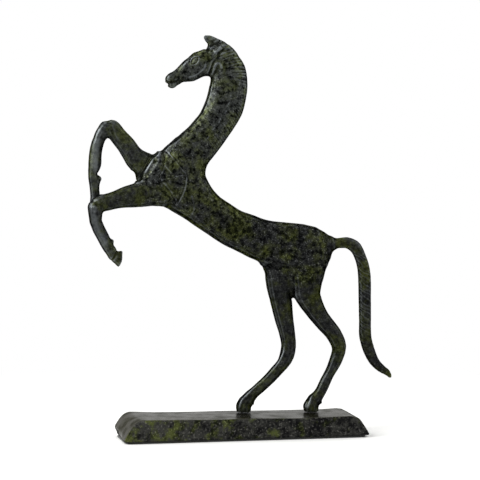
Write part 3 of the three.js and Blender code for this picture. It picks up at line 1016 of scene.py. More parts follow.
# The chest, the lozenge cut on the shoulder, the elbow and the haunch
BODY_RELIEFS: tuple[Relief, ...] = (
    Stroke(
        ((-39.6, 144.3), (-43.4, 140.8), (-45.2, 138.4), (-47.5, 134.8), (-49.2, 131.8), (-51.4, 128.3)),
        depth=-0.5,
        width=1.0,
    ),
    Stroke(((-45.6, 141.4), (-47.4, 138.0), (-49.6, 134.2), (-51.4, 131.6)), depth=0.35, width=0.6),
    Stroke(
        ((-41.6, 128.6), (-41.9, 131.6), (-39.6, 137.0), (-38.2, 143.2)),
        depth=0.28,
        width=0.5,
        burr=-0.16,
    ),
    Stroke(((-38.0, 143.2), (-33.6, 137.2), (-29.3, 131.8)), depth=0.12, width=0.5, burr=0.1),
    Stroke(((-36.6, 143.4), (-32.4, 137.6), (-28.6, 133.4)), depth=0.08, width=0.5, burr=0.06),
    Stroke(((-41.8, 129.0), (-37.4, 123.8), (-33.6, 118.0)), depth=0.14, width=0.5, burr=0.09),
    Stroke(((-29.2, 132.0), (-30.2, 125.4), (-33.5, 118.0)), depth=0.18, width=0.55, burr=0.15),
    Stroke(((-41.7, 128.5), (-35.6, 129.9), (-29.2, 131.4)), depth=0.12, width=0.5, burr=0.08),
    Stroke(((-39.5, 136.1), (-35.6, 130.6)), depth=0.12, width=0.5, burr=0.1),
    Stroke(((-37.2, 133.6), (-33.4, 129.9)), depth=0.1, width=0.5, burr=0.08),
    Stroke(((-26.3, 122.6), (-25.1, 118.1), (-24.7, 115.6), (-25.6, 111.6)), depth=-0.2, width=0.9),
    Stroke(
        ((21.7, 87.8), (23.2, 83.8), (24.3, 77.2), (25.3, 72.7), (26.4, 69.5)),
        depth=0.1,
        width=0.8,
        taper=4,
        side=Flank.NEAR,
    ),
)

# The tail's hair, the bone of each cannon, the bend of the far knee, and the line above the near fore hoof
LEG_RELIEFS: tuple[Relief, ...] = (
    TailHair(left=56, bottom=36, top=94, spacing=2.5, slope=-0.85, depth=0.11),
    Stroke(
        ((-0.6, 13.0), (1.0, 17.5), (4.4, 21.0), (14.4, 31.5), (21.8, 39.5), (23.2, 46.0)),
        depth=-0.4,
        width=0.55,
        taper=4,
    ),
    Stroke(
        ((34.6, 13.5), (37.0, 20.0), (41.6, 28.0), (45.2, 36.0), (47.3, 41.0)),
        depth=-0.4,
        width=0.55,
        taper=4,
    ),
    Stroke(
        ((-67.6, 157.0), (-70.6, 153.0), (-72.2, 146.0), (-72.8, 138.0), (-73.0, 132.0)),
        depth=-0.75,
        width=2.0,
        taper=5,
        side=Flank.NEAR,
    ),
    Stroke(
        ((-73.2, 119.5), (-74.4, 113.5), (-73.2, 107.0), (-70.6, 101.0), (-67.0, 95.0)),
        depth=-0.6,
        width=2.0,
        taper=5,
        side=Flank.NEAR,
    ),
    Stroke(((-65.0, 157.0), (-64.2, 153.0), (-62.0, 149.0)), depth=0.25, width=0.6, taper=2, side=Flank.NEAR),
    Ring((-64.0, 1.2, 92.9), (0.86, 0, -0.5), depth=0.2, reach=4.5),
)

# Where the legs and the tail have been handled smooth, and how far to each side
HANDLED_LINES: tuple[Path, ...] = (
    ((-56.0, 121.0), (-73.0, 118.0), (-74.0, 112.0), (-62.5, 90.0)),
    ((-53.0, 138.0), (-66.0, 155.0), (-72.5, 147.0), (-72.5, 118.0)),
    ((21.0, 72.0), (24.0, 50.0), (20.0, 38.0), (0.0, 13.0)),
    ((36.0, 70.0), (50.0, 47.0), (43.0, 28.0), (37.0, 13.0)),
    ((52.0, 97.0), (62.0, 94.0), (65.0, 70.0), (66.0, 48.0), (78.0, 29.0)),
)
HANDLED_REACH = (5.5, 9.5)

# Where less wear is noted, which darkens the colour: painted shade on the muzzle, which dims the key lamp's
# highlight there, and darker at the lower tail. Each gives the place, how far it reaches, and how much it
# takes off what is noted
DARKENED_PLACES: tuple[tuple[tuple[float, float], float, float], ...] = (
    ((76.0, 30.5), 8.0, 0.4),
    ((67.5, 42.0), 8.0, 0.18),
    # Painted shade on the muzzle, which dims the key lamp's highlight there
    ((-35.8, 180.2), 3.6, 0.4),
)


# Materials


# A Map Range node's inputs are 0 for the number, 1 and 2 for the range that is read, and 3 and 4 for the
# range that is given. A Mix node's are 0 for the share, 2 and 3 for numbers, and 6 and 7 for colours
SMOOTH = {"interpolation_type": "SMOOTHSTEP"}
COLOURS = {"data_type": "RGBA", "out": 2}
TIMES = {"operation": "MULTIPLY"}
LARGER = {"operation": "MAXIMUM"}


def add(
    tree: bpy.types.NodeTree, kind: str, inputs: dict[str | int, Any], out: str | int = 0, **settings: Any
) -> Any:
    """Add a node with its settings, input values and links.

    Args:
        tree: The node tree.
        kind: The node's type, without the word that all shader nodes start with.
        inputs: What goes into each input, by its name or number: a value, or another node's output.
        out: The name or number of the output that is wanted.
        settings: The node's own settings.

    Returns:
        The wanted output, or nothing from a node without outputs.
    """
    made = tree.nodes.new("ShaderNode" + kind)
    for name, value in settings.items():
        setattr(made, name, value)
    for key, value in inputs.items():
        if isinstance(value, bpy.types.NodeSocket):
            tree.links.new(value, made.inputs[key])
        else:
            made.inputs[key].default_value = value
    return made.outputs[out] if made.outputs else None


def empty_tree(holder: bpy.types.Material | bpy.types.World) -> bpy.types.NodeTree:
    """Give a material or a world an empty node tree.

    Args:
        holder: The material or world.

    Returns:
        Its node tree.
    """
    holder.use_nodes = True
    holder.node_tree.nodes.clear()
    return holder.node_tree


@dataclass(frozen=True)
class Finish:
    """A surface that makes its own material from what goes into the shader's sockets."""

    name: str

    def surface(self, tree: bpy.types.NodeTree) -> dict[str | int, Any]:
        """What goes into each of the shader's sockets."""
        raise NotImplementedError

    def material(self) -> bpy.types.Material:
        """Make the material.

        Returns:
            The new material.
        """
        material = bpy.data.materials.new(self.name)
        tree = empty_tree(material)
        add(tree, "OutputMaterial", {"Surface": add(tree, "BsdfPrincipled", self.surface(tree))})
        return material


@dataclass(frozen=True)
class PatinatedBronze(Finish):
    """Sand-cast bronze, browned with acid, waxed and rubbed.

    The eye gets a near-black satin body that drifts between black and olive brown, with fine pale specks
    where the cast grain shows, dark cuts, paler metal where a rag has rubbed the ridges, the same paler metal
    as a painted highlight on the bevels that look forwards and down, and a calmer surface on the legs and
    tail. Higher up, painted light turns it greyer and lighter, as if more light fell there. The real grain is
    finer than a quarter of a millimetre, and is drawn coarser so that it shows.

    A pattern is the size of its patches in millimetres, its number of finer layers, and how strong they are.
    The place is where in the noise the patterns are read, and sets where their patches fall.
    """

    name: str = "cast_bronze_acid_patina_waxed"
    black: tuple[str, str] = ("#050506", "#292a2a")
    olive: tuple[str, str] = ("#0a0c06", "#3d4120")
    # Painted light: the greyer, lighter tones that the figure takes higher up
    painted_upper_light: tuple[str, str] = ("#4a4e4a", "#50563c")
    speck: tuple[str, str] = ("#7f8180", "#818a63")
    cut: str = "#13140d"
    # The paler metal of rubbed ridges, and also of the painted highlight on the bevels
    rubbed: str = "#73787a"
    edge: float = 0.31
    place: tuple[float, float, float] = (0.3374, 0.212, 0.2579)
    zones: tuple[float, float, float] = (11, 6.0, 0.7)
    flecks: tuple[float, float, float] = (2.2, 5.0, 0.68)
    grain: tuple[float, float, float] = (0.65, 1.0, 0.5)
    grain_height: float = 0.09
    painted_light_levels: tuple[float, float] = (100, 170)
    painted_light_most: float = 0.57
    calm_light: float = 0.55
    zone_range: ClassVar[Range] = {1: 0.42, 2: 0.63}
    fleck_range: ClassVar[Range] = {1: 0.36, 2: 0.65}
    cut_range: ClassVar[Range] = {1: 0.44, 2: 0.1, 4: 0.75}
    grain_range: ClassVar[Range] = {1: 0.54, 2: 0.78, 4: 0.58}
    ridge_range: ClassVar[Range] = {1: 0.6, 2: 1.0, 4: 0.62}
    broken_rub_and_sheen: ClassVar[Range] = {1: 0.25, 2: 0.6, 3: 0.45, 4: 1.0}
    calmer_light: ClassVar[Range] = {4: 0.35}
    calmer_grain: ClassVar[Range] = {3: 1.0, 4: 0.5}
    roughness: ClassVar[Range] = {3: 0.3, 4: 0.56}

    def surface(self, tree: bpy.types.NodeTree) -> dict[str | int, Any]:
        """Mix the colours, roughness and grain.

        Args:
            tree: The material's node tree.

        Returns:
            What goes into each of the shader's sockets.
        """
        where = add(tree, "TexCoord", {}, "Object")
        moved = add(tree, "Mapping", {"Vector": where, "Location": self.place})
        wear_and_sheen, held = (add(tree, "Attribute", {}, "Fac", attribute_name=name) for name in (WEAR_AND_SHEEN, HANDLED))
        zones, flecks, grain = (
            add(
                tree,
                "TexNoise",
                {"Vector": moved, "Scale": 1 / (size * MM), "Detail": layers, "Roughness": strength},
            )
            for size, layers, strength in (self.zones, self.flecks, self.grain)
        )
        zone = add(tree, "MapRange", {0: zones, **self.zone_range}, **SMOOTH)
        mottled = add(tree, "MapRange", {0: flecks, **self.fleck_range}, **SMOOTH)
        calm = add(tree, "MapRange", {0: held, **self.calmer_light})
        light = add(tree, "Mix", {0: calm, 2: mottled, 3: self.calm_light})
        black, olive, painted_upper_light, speck = (
            add(tree, "Mix", {0: share, 6: linear(first), 7: linear(second)}, **COLOURS)
            for share, (first, second) in zip(
                (light, light, zone, zone), (self.black, self.olive, self.painted_upper_light, self.speck)
            )
        )
        ground = add(tree, "Mix", {0: zone, 6: black, 7: olive}, **COLOURS)
        # Painted light: higher up the colour turns greyer and lighter, as if more light fell there
        height = add(tree, "SeparateXYZ", {0: where}, "Z")
        low, high = (MM * level for level in self.painted_light_levels)
        upper = add(tree, "MapRange", {0: height, 1: low, 2: high, 3: 0.0, 4: self.painted_light_most})
        painted_light_share = add(tree, "Math", {0: upper, 1: light}, **TIMES)
        ground = add(tree, "Mix", {0: painted_light_share, 6: ground, 7: painted_upper_light}, **COLOURS)
        cuts = add(tree, "MapRange", {0: wear_and_sheen, **self.cut_range}, **SMOOTH)
        ground = add(tree, "Mix", {0: cuts, 6: ground, 7: linear(self.cut)}, **COLOURS)
        grains = add(tree, "MapRange", {0: grain, **self.grain_range}, **SMOOTH)
        rough = add(tree, "MapRange", {0: held, **self.calmer_grain})
        specks = add(tree, "Math", {0: add(tree, "Math", {0: grains, 1: light}, **TIMES), 1: rough}, **TIMES)
        ground = add(tree, "Mix", {0: specks, 6: ground, 7: speck}, **COLOURS)
        ridges = add(tree, "MapRange", {0: wear_and_sheen, **self.ridge_range}, **SMOOTH)
        broken = add(tree, "MapRange", {0: flecks, **self.broken_rub_and_sheen})
        # Rubbed ridges, and the bevels as painted highlight, take the paler metal
        rub_and_sheen = add(tree, "Math", {0: ridges, 1: broken}, **TIMES)
        lumps = add(tree, "Math", {0: flecks, 1: grain}, operation="ADD")
        bump = add(tree, "Bump", {"Height": lumps, "Distance": self.grain_height * MM, "Strength": rough})
        return {
            "Base Color": add(tree, "Mix", {0: rub_and_sheen, 6: ground, 7: linear(self.rubbed)}, **COLOURS),
            "Metallic": 1.0,
            "Roughness": add(tree, "MapRange", {0: flecks, **self.roughness}),
            "Specular Tint": (self.edge, self.edge, self.edge, 1),
            "Normal": bump,
        }


@dataclass(frozen=True)
class PolishedCastBronze(Finish):
    """Cast bronze with a file-dressed, polished satin top, painted satin light on the left end, rest as cast.

    The eye gets a dark satin on top, with a grey sheen at a low angle that cloudy stains break, and the
    left end, which faces the key lamp, gets the same satin as painted light. The faces in front and behind
    are dark and finely mottled, with pale specks. Olive bloom thins towards the right, where painted shade
    darkens the end that faces away from the key lamp. The real grain is finer than a quarter of a
    millimetre, and is drawn coarser so that it shows.

    A pattern is the size of its patches in millimetres, its number of finer layers, and how strong they are.
    The place is where in the noise the patterns are read, and sets where their patches fall.
    """

    name: str = "cast_bronze_satin_polished_top"
    # The polished top's satin, which is also painted light on the left end
    satin: str = "#58564c"
    stain: str = "#424232"
    dark: tuple[str, str] = ("#121213", "#383835")
    olive: tuple[str, str] = ("#1a1d10", "#4c522b")
    speck: tuple[str, str] = ("#7c7b76", "#868c5c")
    edge: float = 0.32
    sheen: tuple[float, float] = (0.55, 0.41)
    place: tuple[float, float, float] = (0.4744, 0.212, 0.2951)
    stains: tuple[float, float, float] = (9, 5.0, 0.62)
    mottle: tuple[float, float, float] = (3.8, 5.0, 0.68)
    blooms: tuple[float, float, float] = (7, 5.0, 0.66)
    grain: tuple[float, float, float] = (0.8, 2.0, 0.5)
    grain_height: float = 0.14
    # Painted shade: towards the right end the colour darkens and the bloom thins, over this reach, by this
    # much
    bloom_and_shade_reach: tuple[float, float] = (-45, 40)
    darker_right: float = 0.08
    light_range: ClassVar[Range] = {1: 0.33, 2: 0.61}
    bloom_range: ClassVar[Range] = {1: 0.46, 2: 0.6, 4: 0.9}
    speck_range: ClassVar[Range] = {1: 0.54, 2: 0.76, 4: 0.46}
    cloud_range: ClassVar[Range] = {1: 0.4, 2: 0.66}
    face_roughness: ClassVar[Range] = {3: 0.4, 4: 0.66}
    top_roughness: ClassVar[Range] = {3: 0.18, 4: 0.36}
    grain_left: ClassVar[Range] = {3: 1.0, 4: 0.12}

    def surface(self, tree: bpy.types.NodeTree) -> dict[str | int, Any]:
        """Mix the polished top, the cast faces and their bloom, and the painted light and shade of the ends.

        Args:
            tree: The material's node tree.

        Returns:
            What goes into each of the shader's sockets.
        """
        where = add(tree, "TexCoord", {}, "Object")
        moved = add(tree, "Mapping", {"Vector": where, "Location": self.place})
        # Marks the polished top, and the left end, whose satin is painted light
        polish_and_light = add(tree, "Attribute", {}, "Fac", attribute_name=POLISH_AND_LIGHT)
        stains, mottle, blooms, grain = (
            add(
                tree,
                "TexNoise",
                {"Vector": moved, "Scale": 1 / (size * MM), "Detail": layers, "Roughness": strength},
            )
            for size, layers, strength in (self.stains, self.mottle, self.blooms, self.grain)
        )
        # Painted shade: towards the right end, which faces away from the key lamp, the colour darkens and the
        # bloom thins
        left, right = (MM * place for place in self.bloom_and_shade_reach)
        along = add(tree, "SeparateXYZ", {0: where}, "X")
        right_shade = add(tree, "MapRange", {0: along, 1: left, 2: right, 3: 0.0, 4: self.darker_right})
        patchy, over = (
            add(tree, "Math", {0: pattern, 1: right_shade}, operation="SUBTRACT") for pattern in (mottle, blooms)
        )
        light = add(tree, "MapRange", {0: patchy, **self.light_range}, **SMOOTH)
        dark, olive = (
            add(tree, "Mix", {0: light, 6: linear(low), 7: linear(high)}, **COLOURS)
            for low, high in (self.dark, self.olive)
        )
        bloom = add(tree, "MapRange", {0: over, **self.bloom_range}, **SMOOTH)
        face = add(tree, "Mix", {0: bloom, 6: dark, 7: olive}, **COLOURS)
        specks = add(tree, "MapRange", {0: grain, **self.speck_range}, **SMOOTH)
        grey, yellow = map(linear, self.speck)
        speck = add(tree, "Mix", {0: bloom, 6: grey, 7: yellow}, **COLOURS)
        face = add(tree, "Mix", {0: specks, 6: face, 7: speck}, **COLOURS)
        clouds = add(tree, "MapRange", {0: stains, **self.cloud_range}, **SMOOTH)
        top = add(tree, "Mix", {0: clouds, 6: linear(self.satin), 7: linear(self.stain)}, **COLOURS)
        clean, stained = self.sheen
        sheen = add(tree, "MapRange", {0: clouds, 3: clean, 4: stained})
        rough_face = add(tree, "MapRange", {0: mottle, **self.face_roughness})
        rough_top = add(tree, "MapRange", {0: stains, **self.top_roughness})
        lumps = add(tree, "Math", {0: grain, 1: mottle}, operation="ADD")
        strength = add(tree, "MapRange", {0: polish_and_light, **self.grain_left})
        bump = add(tree, "Bump", {"Height": lumps, "Distance": self.grain_height * MM, "Strength": strength})
        return {
            "Base Color": add(tree, "Mix", {0: polish_and_light, 6: face, 7: top}, **COLOURS),
            "Metallic": 1.0,
            "Roughness": add(tree, "Mix", {0: polish_and_light, 2: rough_face, 3: rough_top}, data_type="FLOAT"),
            "Specular Tint": add(tree, "MapRange", {0: polish_and_light, 3: self.edge, 4: sheen}),
            "Normal": bump,
        }


@dataclass(frozen=True)
class TurnedSteel(Finish):
    """Mild steel bar and nuts from the lathe and the press: grey, with fine turning lines and oil stains.

    The turning lines lie level, ten times as long as they are high. The lathe's own are about a tenth of a
    millimetre apart, and are drawn coarser so that they show.
    """

    name: str = "mild_steel_turned_oiled"
    grey: str = "#8f9294"
    oiled: str = "#6d6a63"
    roughness: tuple[float, float] = (0.28, 0.45)
    line_size: float = 0.25
    line_stretch: tuple[float, float, float] = (0.1, 0.1, 1.0)
    line_layers: float = 1.0
    line_height: float = 0.01
    line_strength: float = 0.5
    stain_size: float = 4
    stain_layers: float = 3.0
    stain_range: ClassVar[Range] = {1: 0.45, 2: 0.65}

    def surface(self, tree: bpy.types.NodeTree) -> dict[str | int, Any]:
        """Mix the grey and the stains, and draw the turning lines.

        Args:
            tree: The material's node tree.

        Returns:
            What goes into each of the shader's sockets.
        """
        where = add(tree, "TexCoord", {}, "Object")
        stretched = add(tree, "Mapping", {"Vector": where, "Scale": self.line_stretch})
        stains, lines = (
            add(tree, "TexNoise", {"Vector": vector, "Scale": 1 / (size * MM), "Detail": layers})
            for vector, size, layers in (
                (where, self.stain_size, self.stain_layers),
                (stretched, self.line_size, self.line_layers),
            )
        )
        stained = add(tree, "MapRange", {0: stains, **self.stain_range}, **SMOOTH)
        grey, oiled = map(linear, (self.grey, self.oiled))
        low, high = self.roughness
        cut = {"Height": lines, "Distance": self.line_height * MM, "Strength": self.line_strength}
        return {
            "Base Color": add(tree, "Mix", {0: stained, 6: grey, 7: oiled}, **COLOURS),
            "Metallic": 1.0,
            "Roughness": add(tree, "MapRange", {0: lines, 3: low, 4: high}),
            "Normal": add(tree, "Bump", cut),
        }


@dataclass(frozen=True)
class PressedFelt(Finish):
    """Wool felt, pressed and dyed near black: a dull fibrous surface with a little pale lint.

    A real fibre is a few hundredths of a millimetre thick, and is drawn coarser so that it shows.
    """

    name: str = "wool_felt_pressed_black"
    wool: str = "#1d1f1c"
    lint: str = "#393b36"
    fibre_size: float = 0.8
    fibre_layers: float = 4.0
    fibre_strength: float = 0.7
    fibre_height: float = 0.15
    cloud_size: float = 5
    roughness: float = 0.95
    nap: float = 0.3
    nap_roughness: float = 0.6
    strand_range: ClassVar[Range] = {1: 0.5, 2: 0.75}
    patch_range: ClassVar[Range] = {1: 0.35, 2: 0.65}

    def surface(self, tree: bpy.types.NodeTree) -> dict[str | int, Any]:
        """Mix the wool and the lint, and raise the fibres.

        Args:
            tree: The material's node tree.

        Returns:
            What goes into each of the shader's sockets.
        """
        where = add(tree, "TexCoord", {}, "Object")
        fine = {"Detail": self.fibre_layers, "Roughness": self.fibre_strength}
        fibres = add(tree, "TexNoise", {"Vector": where, "Scale": 1 / (self.fibre_size * MM), **fine})
        clouds = add(tree, "TexNoise", {"Vector": where, "Scale": 1 / (self.cloud_size * MM)})
        strands = add(tree, "MapRange", {0: fibres, **self.strand_range}, **SMOOTH)
        patches = add(tree, "MapRange", {0: clouds, **self.patch_range}, **SMOOTH)
        lint = add(tree, "Math", {0: strands, 1: patches}, **TIMES)
        raised = {"Height": fibres, "Distance": self.fibre_height * MM, "Strength": 1.0}
        return {
            "Base Color": add(tree, "Mix", {0: lint, 6: linear(self.wool), 7: linear(self.lint)}, **COLOURS),
            "Roughness": self.roughness,
            "Sheen Weight": self.nap,
            "Sheen Roughness": self.nap_roughness,
            "Normal": add(tree, "Bump", raised),
        }


# Sub-assemblies


@dataclass(frozen=True)
class Joint:
    """A brazed joint: a point on it, the way to the limb, the limb's box, and how far round it reaches."""

    point: Array
    along: Array
    low: Array
    high: Array
    reach: float

    @classmethod
    def of(cls, limbs: tuple[str, ...], dowels: tuple[str, ...], margin: float = 1.5 * MM) -> "Joint":
        """Find the joint of one or more limbs from the dowels in it: their middle, and their longest way.

        Args:
            limbs: The limbs' CAD nodes.
            dowels: The CAD nodes of the dowels that the joint's plane is square to.
            margin: How much room to leave round the limbs' box and round the joint.

        Returns:
            The joint.
        """
        body = np.vstack([points_of(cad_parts[limb].data) for limb in limbs])
        low, high = body.min(0), body.max(0)
        middles, ways = [], []
        for name in dowels:
            points = points_of(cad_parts[name].data)
            middle = (points.min(0) + points.max(0)) / 2
            way = np.linalg.svd(points - middle, full_matrices=False)[2][0]
            middles.append(middle)
            ways.append(way * np.sign(way @ ((low + high) / 2 - middle)))
        point, along = np.mean(middles, 0), np.sum(ways, 0)
        along /= np.linalg.norm(along)
        off = body - point
        rim = off[np.abs(off @ along) < STUB / 2]
        reach = np.linalg.norm(rim - np.outer(rim @ along, along), axis=1).max()
        return cls(point, along, low - margin, high + margin, reach + margin)

    def beyond(self, points: Array) -> Array:
        """How far points are past the joint, along the limb."""
        return (points - self.point) @ self.along

    def at_stub(self, points: Array) -> Array:
        """Find the short stub that is left on both sides of the joint until it is cut.

        Args:
            points: Points on a skin.

        Returns:
            Which of them are in the stub.
        """
        past = self.beyond(points)
        radius = np.linalg.norm(points - self.point - np.outer(past, self.along), axis=1)
        return (radius < self.reach) & (np.abs(past) < STUB)

    def on_limb(self, points: Array) -> Array:
        """Which points are on the limb past the stub."""
        inside = ((points > self.low) & (points < self.high)).all(1)
        return inside & (self.beyond(points) >= STUB)


def only_faces(mesh: bpy.types.Mesh, kept: Array) -> bpy.types.Mesh:
    """Take the kept faces of a skin, with what is noted on them and without the vertices that are left over.

    Args:
        mesh: The skin, which is used up.
        kept: Which faces to keep.

    Returns:
        The new skin.
    """
    used, numbers = np.unique(corners_of(mesh)[kept], return_inverse=True)
    reduced = mesh_from(points_of(mesh)[used], numbers.reshape(-1, 4), mesh.name)
    for name in (WEAR_AND_SHEEN, HANDLED):
        if name in mesh.attributes:
            put_values(reduced, name, values_of(mesh, name)[used])
    bpy.data.meshes.remove(mesh)
    return reduced


def cut_at(mesh: bpy.types.Mesh, cuts: list[tuple[Joint, float]]) -> None:
    """Cut a skin at joints and close each cut with a flat cap.

    Args:
        mesh: The skin, which is changed.
        cuts: Each joint, with 1 to take away the limb's side or -1 to take away the other side.
    """
    middles = middles_of(mesh)
    work = bmesh.new()
    work.from_mesh(mesh)
    work.faces.ensure_lookup_table()
    chosen = []
    for joint, sign in cuts:
        near = joint.at_stub(middles) & (joint.beyond(middles) * sign > -MM)
        chosen.append([work.faces[number] for number in np.flatnonzero(near)])
    for (joint, sign), faces in zip(cuts, chosen):
        edges = list({edge for face in faces for edge in face.edges})
        corners = list({vertex for face in faces for vertex in face.verts})
        cut = bmesh.ops.bisect_plane(
            work,
            geom=corners + edges + faces,
            dist=WELD,
            plane_co=Vector(joint.point),
            plane_no=Vector(joint.along * sign),
            clear_outer=True,
        )
        rim = [part for part in cut["geom_cut"] if isinstance(part, bmesh.types.BMEdge)]
        for edge in rim:
            edge.smooth = False
        bmesh.ops.triangle_fill(work, edges=rim, use_beauty=True)
    bmesh.ops.recalc_face_normals(work, faces=work.faces)
    work.to_mesh(mesh)
    work.free()
    mesh.shade_smooth()


@dataclass
class Horse:
    """The figure: a torso and six limbs, each with a skin over its casting.

    A facing is a part of the surface's outward direction, from -1 to 1. The room is how far past its kept
    faces a skin is worked, so that it comes out the same on both sides of a joint.
    """

    voxel: float = 0.36 * MM
    growth: float = 0.5 * MM
    shrink: float = 0.46 * MM
    rounds: int = 26
    pull: float = 0.5
    push: float = 0.42
    even_wear: float = 0.5
    wear_rounds: int = 12
    wear_depth: float = 0.11
    wear_facing: tuple[float, float] = (0.25, 0.7)
    # How much painted highlight the bevels get, which bevels, and the way that those which get most face
    bevel_highlight: float = 0.12
    bevel_inner: tuple[float, float] = (0.35, 0.6)
    bevel_outer: tuple[float, float] = (0.94, 0.78)
    highlight_way: tuple[float, float, float] = (-0.8, 0, -0.6)
    highlight_facing: tuple[float, float] = (-0.1, 0.5)
    highlight_least: float = 0.25
    mould_on_edges: float = 0.3
    room: float = 12 * MM
    finish: PatinatedBronze = field(default_factory=PatinatedBronze)
    pieces: list[bpy.types.Object] = field(default_factory=list)

    torso: str = "torso_casting"
    limbs: dict[str, tuple[str, ...]] = field(
        default_factory=lambda: {
            "neck_and_head_casting": ("neck_dowel",),
            "near_foreleg_casting": ("near_foreleg_dowel",),
            "far_foreleg_casting": ("far_foreleg_dowel",),
            "near_hind_leg_casting": ("near_hind_dowel", "far_hind_dowel"),
            "far_hind_leg_casting": ("near_hind_dowel", "far_hind_dowel"),
            "tail_casting": ("tail_dowel",),
        }
    )
    reliefs: tuple[Relief, ...] = HEAD_RELIEFS + BODY_RELIEFS + LEG_RELIEFS
    mould: CastSkin = CastSkin()

    def skin(self, names: tuple[str, ...]) -> bpy.types.Mesh:
        """The rounded outer surface of several castings as one.

        Every point is moved out along its normal by the growth, which closes the gaps at the joints and fills
        sharp inner corners, and after the remesh it is moved in again.

        Args:
            names: The CAD nodes to wrap.

        Returns:
            The skin.
        """
        mesh = cad_copy(names)
        put_points(mesh, points_of(mesh) + self.growth * normals_of(mesh))
        return remeshed(mesh, self.voxel)

    def note_wear_and_sheen(self, mesh: bpy.types.Mesh, edges: Array) -> None:
        """Note where a chased skin is rubbed, its painted bevel highlights, and where it was handled smooth.

        Half is noted on even ground, more where a point of a flank stands above the mean of its
        surroundings, and less where it lies below. As painted highlight, the bevels get more, most those that
        look forwards and down, and at a few places less is noted, which darkens them: painted shade on the
        muzzle, and a darker lower tail.

        Args:
            mesh: The skin, which gets the two attributes.
            edges: The two vertices of each of its edges.
        """
        points, facing = points_of(mesh), normals_of(mesh)
        around = evened(points, edges, self.wear_rounds, self.pull, 0)
        proud = ((points - around) * facing).sum(1) / MM
        proud = np.where(proud > 0, proud * on_flank(facing, Flank.BOTH, *self.wear_facing), proud)
        # Painted highlight: the bevels are made paler, most those that look forwards and down
        across = np.abs(facing[:, 1])
        bevel = ramp(across, *self.bevel_inner) * ramp(across, *self.bevel_outer)
        held = self.highlight_least + (1 - self.highlight_least) * ramp(facing @ np.array(self.highlight_way), *self.highlight_facing)
        wear_and_sheen = self.even_wear * (1 + proud / self.wear_depth) + self.bevel_highlight * bevel * held
        places = points[:, (0, 2)] / MM
        # Less is noted at a few places, which darkens them: painted shade on the muzzle, darker at the lower
        # tail
        for centre, reach, hidden in DARKENED_PLACES:
            wear_and_sheen -= hidden * bell(np.linalg.norm(places - np.array(centre), axis=1), reach)
        put_values(mesh, WEAR_AND_SHEEN, np.clip(wear_and_sheen, 0, 1))
        nearest = np.min([along_line(places, np.array(line))[0] for line in HANDLED_LINES], axis=0)
        put_values(mesh, HANDLED, ramp(nearest, HANDLED_REACH[1], HANDLED_REACH[0]))

    def chase(self, mesh: bpy.types.Mesh, kept: Array) -> bpy.types.Mesh:
        """Even out a skin, shrink it back, work the wax, cut the reliefs and add the mould's unevenness.

        Args:
            mesh: The skin, which is used up.
            kept: Which faces the finished piece has. The faces far from them are dropped first.

        Returns:
            The kept part of the finished skin.
        """
        spots = middles_of(mesh)
        low, high = spots[kept].min(0) - self.room, spots[kept].max(0) + self.room
        near = ((spots > low) & (spots < high)).all(1)
        mesh, kept = only_faces(mesh, near), kept[near]
        edges = edges_of(mesh)
        kept_points = np.zeros(len(mesh.vertices), bool)
        kept_points[corners_of(mesh)[kept]] = True
        put_points(mesh, evened(points_of(mesh), edges, self.rounds, self.pull, self.push))
        points = points_of(mesh) - self.shrink * normals_of(mesh)
        points += MM * sum(push.shift(points / MM) for push in PUSHES)
        put_points(mesh, points)
        for dab in DABS:
            dab.press(mesh, edges, kept_points)
        points, facing = points_of(mesh), normals_of(mesh)
        height = sum(relief.height(points / MM, facing) for relief in self.reliefs)
        put_points(mesh, points + MM * height[:, None] * facing)
        self.note_wear_and_sheen(mesh, edges)
        points, facing = points_of(mesh), normals_of(mesh)
        height = self.mould.height(points / MM, facing)
        height *= self.mould_on_edges + (1 - self.mould_on_edges) * on_flank(facing, Flank.BOTH)
        put_points(mesh, inside_box(points + MM * height[:, None] * facing))
        return only_faces(mesh, kept)

    def build(self) -> None:
        """Make the skin of the torso from all castings, and of each limb from itself and the torso."""
        sharing: dict[tuple[str, ...], tuple[str, ...]] = {}
        for limb, dowels in self.limbs.items():
            sharing[dowels] = (*sharing.get(dowels, ()), limb)
        joints = [Joint.of(limbs, dowels) for dowels, limbs in sharing.items()]
        body = self.skin((self.torso, *self.limbs))
        middles = middles_of(body)
        kept = ~np.any([joint.on_limb(middles) for joint in joints], axis=0)
        body = self.chase(body, kept)
        cut_at(body, [(joint, 1.0) for joint in joints])
        self.pieces.append(new_piece("torso_bronze", body, self.torso))
        for limb, dowels in self.limbs.items():
            joint = Joint.of((limb,), dowels)
            skin = self.skin((self.torso, limb))
            middles = middles_of(skin)
            kept = joint.at_stub(middles) | joint.on_limb(middles)
            skin = self.chase(skin, kept)
            cut_at(skin, [(joint, -1.0)])
            name = limb.replace("_casting", "_bronze")
            self.pieces.append(new_piece(name, skin, limb))

    def dress(self) -> None:
        """Give every skin the figure's bronze."""
        material = self.finish.material()
        for piece in self.pieces:
            piece.data.materials.clear()
            piece.data.materials.append(material)


